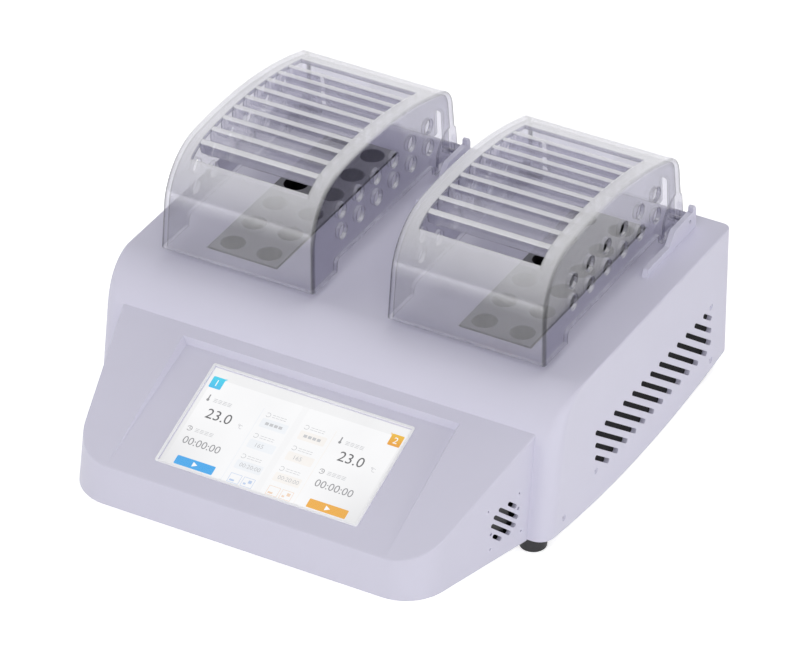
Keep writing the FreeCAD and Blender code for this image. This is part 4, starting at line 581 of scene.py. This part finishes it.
rocker_mesh = nodes["switch_rocker"].data
rocker_face = BVHTree.FromPolygons([v.co for v in rocker_mesh.vertices],
                                   [tuple(f.vertices) for f in rocker_mesh.polygons])
rocker_low, rocker_high = (Vector(pick(v.co[i] for v in rocker_mesh.vertices) for i in range(3))
                           for pick in (min, max))


def rocker_mark(name, outlines, middle):
    """Thin print on the rocker with the given outlines, about a height on it."""
    def on_rocker(u, v, lift):
        start = Vector(((rocker_low.x + rocker_high.x) / 2 + u * MM, rocker_high.y + RAY_START * MM,
                        middle + v * MM))
        return rocker_face.ray_cast(start, Vector((0, -1, 0)))[0] + Vector((0, lift * MM, 0))

    piece = thin_piece(name, marking, outlines, on_rocker, -MARK_LAYER, MARK_LAYER)
    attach(piece, "rocker")


quarter = (rocker_high.z - rocker_low.z) / 4
bar = [plate(-MARK_WIDTH / 2, MARK_WIDTH / 2, MARK_HEIGHT * (i / BAR_PARTS - 0.5),
             MARK_HEIGHT * ((i + 1) / BAR_PARTS - 0.5)) for i in range(BAR_PARTS)]
rocker_mark("rocker_bar_mark", bar, rocker_high.z - quarter)
rocker_mark("rocker_ring_mark", ring(0.0, 0.0, MARK_HEIGHT / 2, MARK_WIDTH * 0.8), rocker_low.z + quarter)

# Camera

AZIMUTH = math.radians(29.19)
ELEVATION = math.radians(34.16)
CAMERA_DISTANCE = 3.8154
CAMERA_TARGET = Vector((38.4, -32.3, 107.7)) * MM
FOCAL_LENGTH = 264.0
SENSOR_WIDTH = 36.0
VIEW_DEPTH = 50.0

backward = Vector((math.cos(ELEVATION) * math.sin(AZIMUTH), -math.cos(ELEVATION) * math.cos(AZIMUTH),
                   math.sin(ELEVATION)))
lens = bpy.data.cameras.new("camera")
lens.lens = FOCAL_LENGTH
lens.sensor_width = SENSOR_WIDTH
lens.clip_end = VIEW_DEPTH
camera = add_object("camera", lens)
camera.location = CAMERA_TARGET + backward * CAMERA_DISTANCE
camera.rotation_euler = backward.to_track_quat("Z", "Y").to_euler()
bpy.context.scene.camera = camera

# Light

LIGHT_CENTRE = Vector((0, 0, 0.06))
LIGHT_DISTANCE = 2.4
AMBIENT = 0.163
WHITE = (1, 1, 1, 1)


def area_light(name, direction, size, power):
    """A soft panel that looks at the part from a direction."""
    data = bpy.data.lights.new(name, "AREA")
    data.shape = "RECTANGLE"
    data.size, data.size_y = size
    data.energy = power
    light = add_object(name, data)
    light.visible_glossy = False
    way = Vector(direction).normalized()
    light.location = LIGHT_CENTRE + way * LIGHT_DISTANCE
    light.rotation_euler = way.to_track_quat("Z", "Y").to_euler()


area_light("back_top", (0.1, 0.55, 0.83), (2.2, 1.6), 20.3)
area_light("front_low", (-0.15, -1.0, 0.12), (2.4, 1.0), 16.2)
area_light("right_low", (1.0, -0.1, 0.16), (2.4, 1.0), 20.7)
area_light("left_high", (-0.8, -0.3, 0.5), (2.0, 1.6), 13.4)
area_light("front_high", (0.3, -0.7, 0.65), (2.0, 1.6), 18.5)

world = bpy.data.worlds.new("studio")
world.use_nodes = True
tree = world.node_tree
tree.nodes.clear()
ambient, white = (add_node(tree, "ShaderNodeBackground", (("Color", WHITE), ("Strength", strength)))
                  for strength in (AMBIENT, 1.0))
mix_into(tree, tree.nodes.new("ShaderNodeOutputWorld"), background_rays(tree),
         ambient.outputs["Background"], white.outputs["Background"])
bpy.context.scene.world = world

# Floor: pale, with a glow that the camera sees. The glow grows with distance, so that the part's shadow
# shows and the floor ends white.

FLOOR_REACH = 8.0
FLOOR_TONE = (0.9, 0.9, 0.9, 1)
GLOW_NEAR, GLOW_FAR = 0.6, 1.0
GLOW_START, GLOW_END = 0.6, 1.6

floor_mesh = bpy.data.meshes.new("floor")
floor_corners = ((-1, -1), (1, -1), (1, 1), (-1, 1))
floor_mesh.from_pydata([(x * FLOOR_REACH, y * FLOOR_REACH, 0) for x, y in floor_corners], [], [(0, 1, 2, 3)])
floor = add_object("floor", floor_mesh)
material = bpy.data.materials.new("pale_floor")
material.use_nodes = True
tree = material.node_tree
tree.nodes.clear()
diffuse = add_node(tree, "ShaderNodeBsdfDiffuse", (("Color", FLOOR_TONE),)).outputs["BSDF"]
far = add_node(tree, "ShaderNodeVectorMath", ((0, own_place(tree)),), "LENGTH")
strength = number_ramp(tree, far.outputs["Value"], GLOW_NEAR, GLOW_FAR, GLOW_START, GLOW_END)
glow = add_node(tree, "ShaderNodeEmission", (("Strength", strength),))
both = add_node(tree, "ShaderNodeAddShader", ((0, diffuse), (1, glow.outputs["Emission"])))
mix_into(tree, tree.nodes.new("ShaderNodeOutputMaterial"), background_rays(tree), diffuse,
         both.outputs["Shader"])
floor_mesh.materials.append(material)

bpy.context.scene.view_settings.view_transform = "Standard"
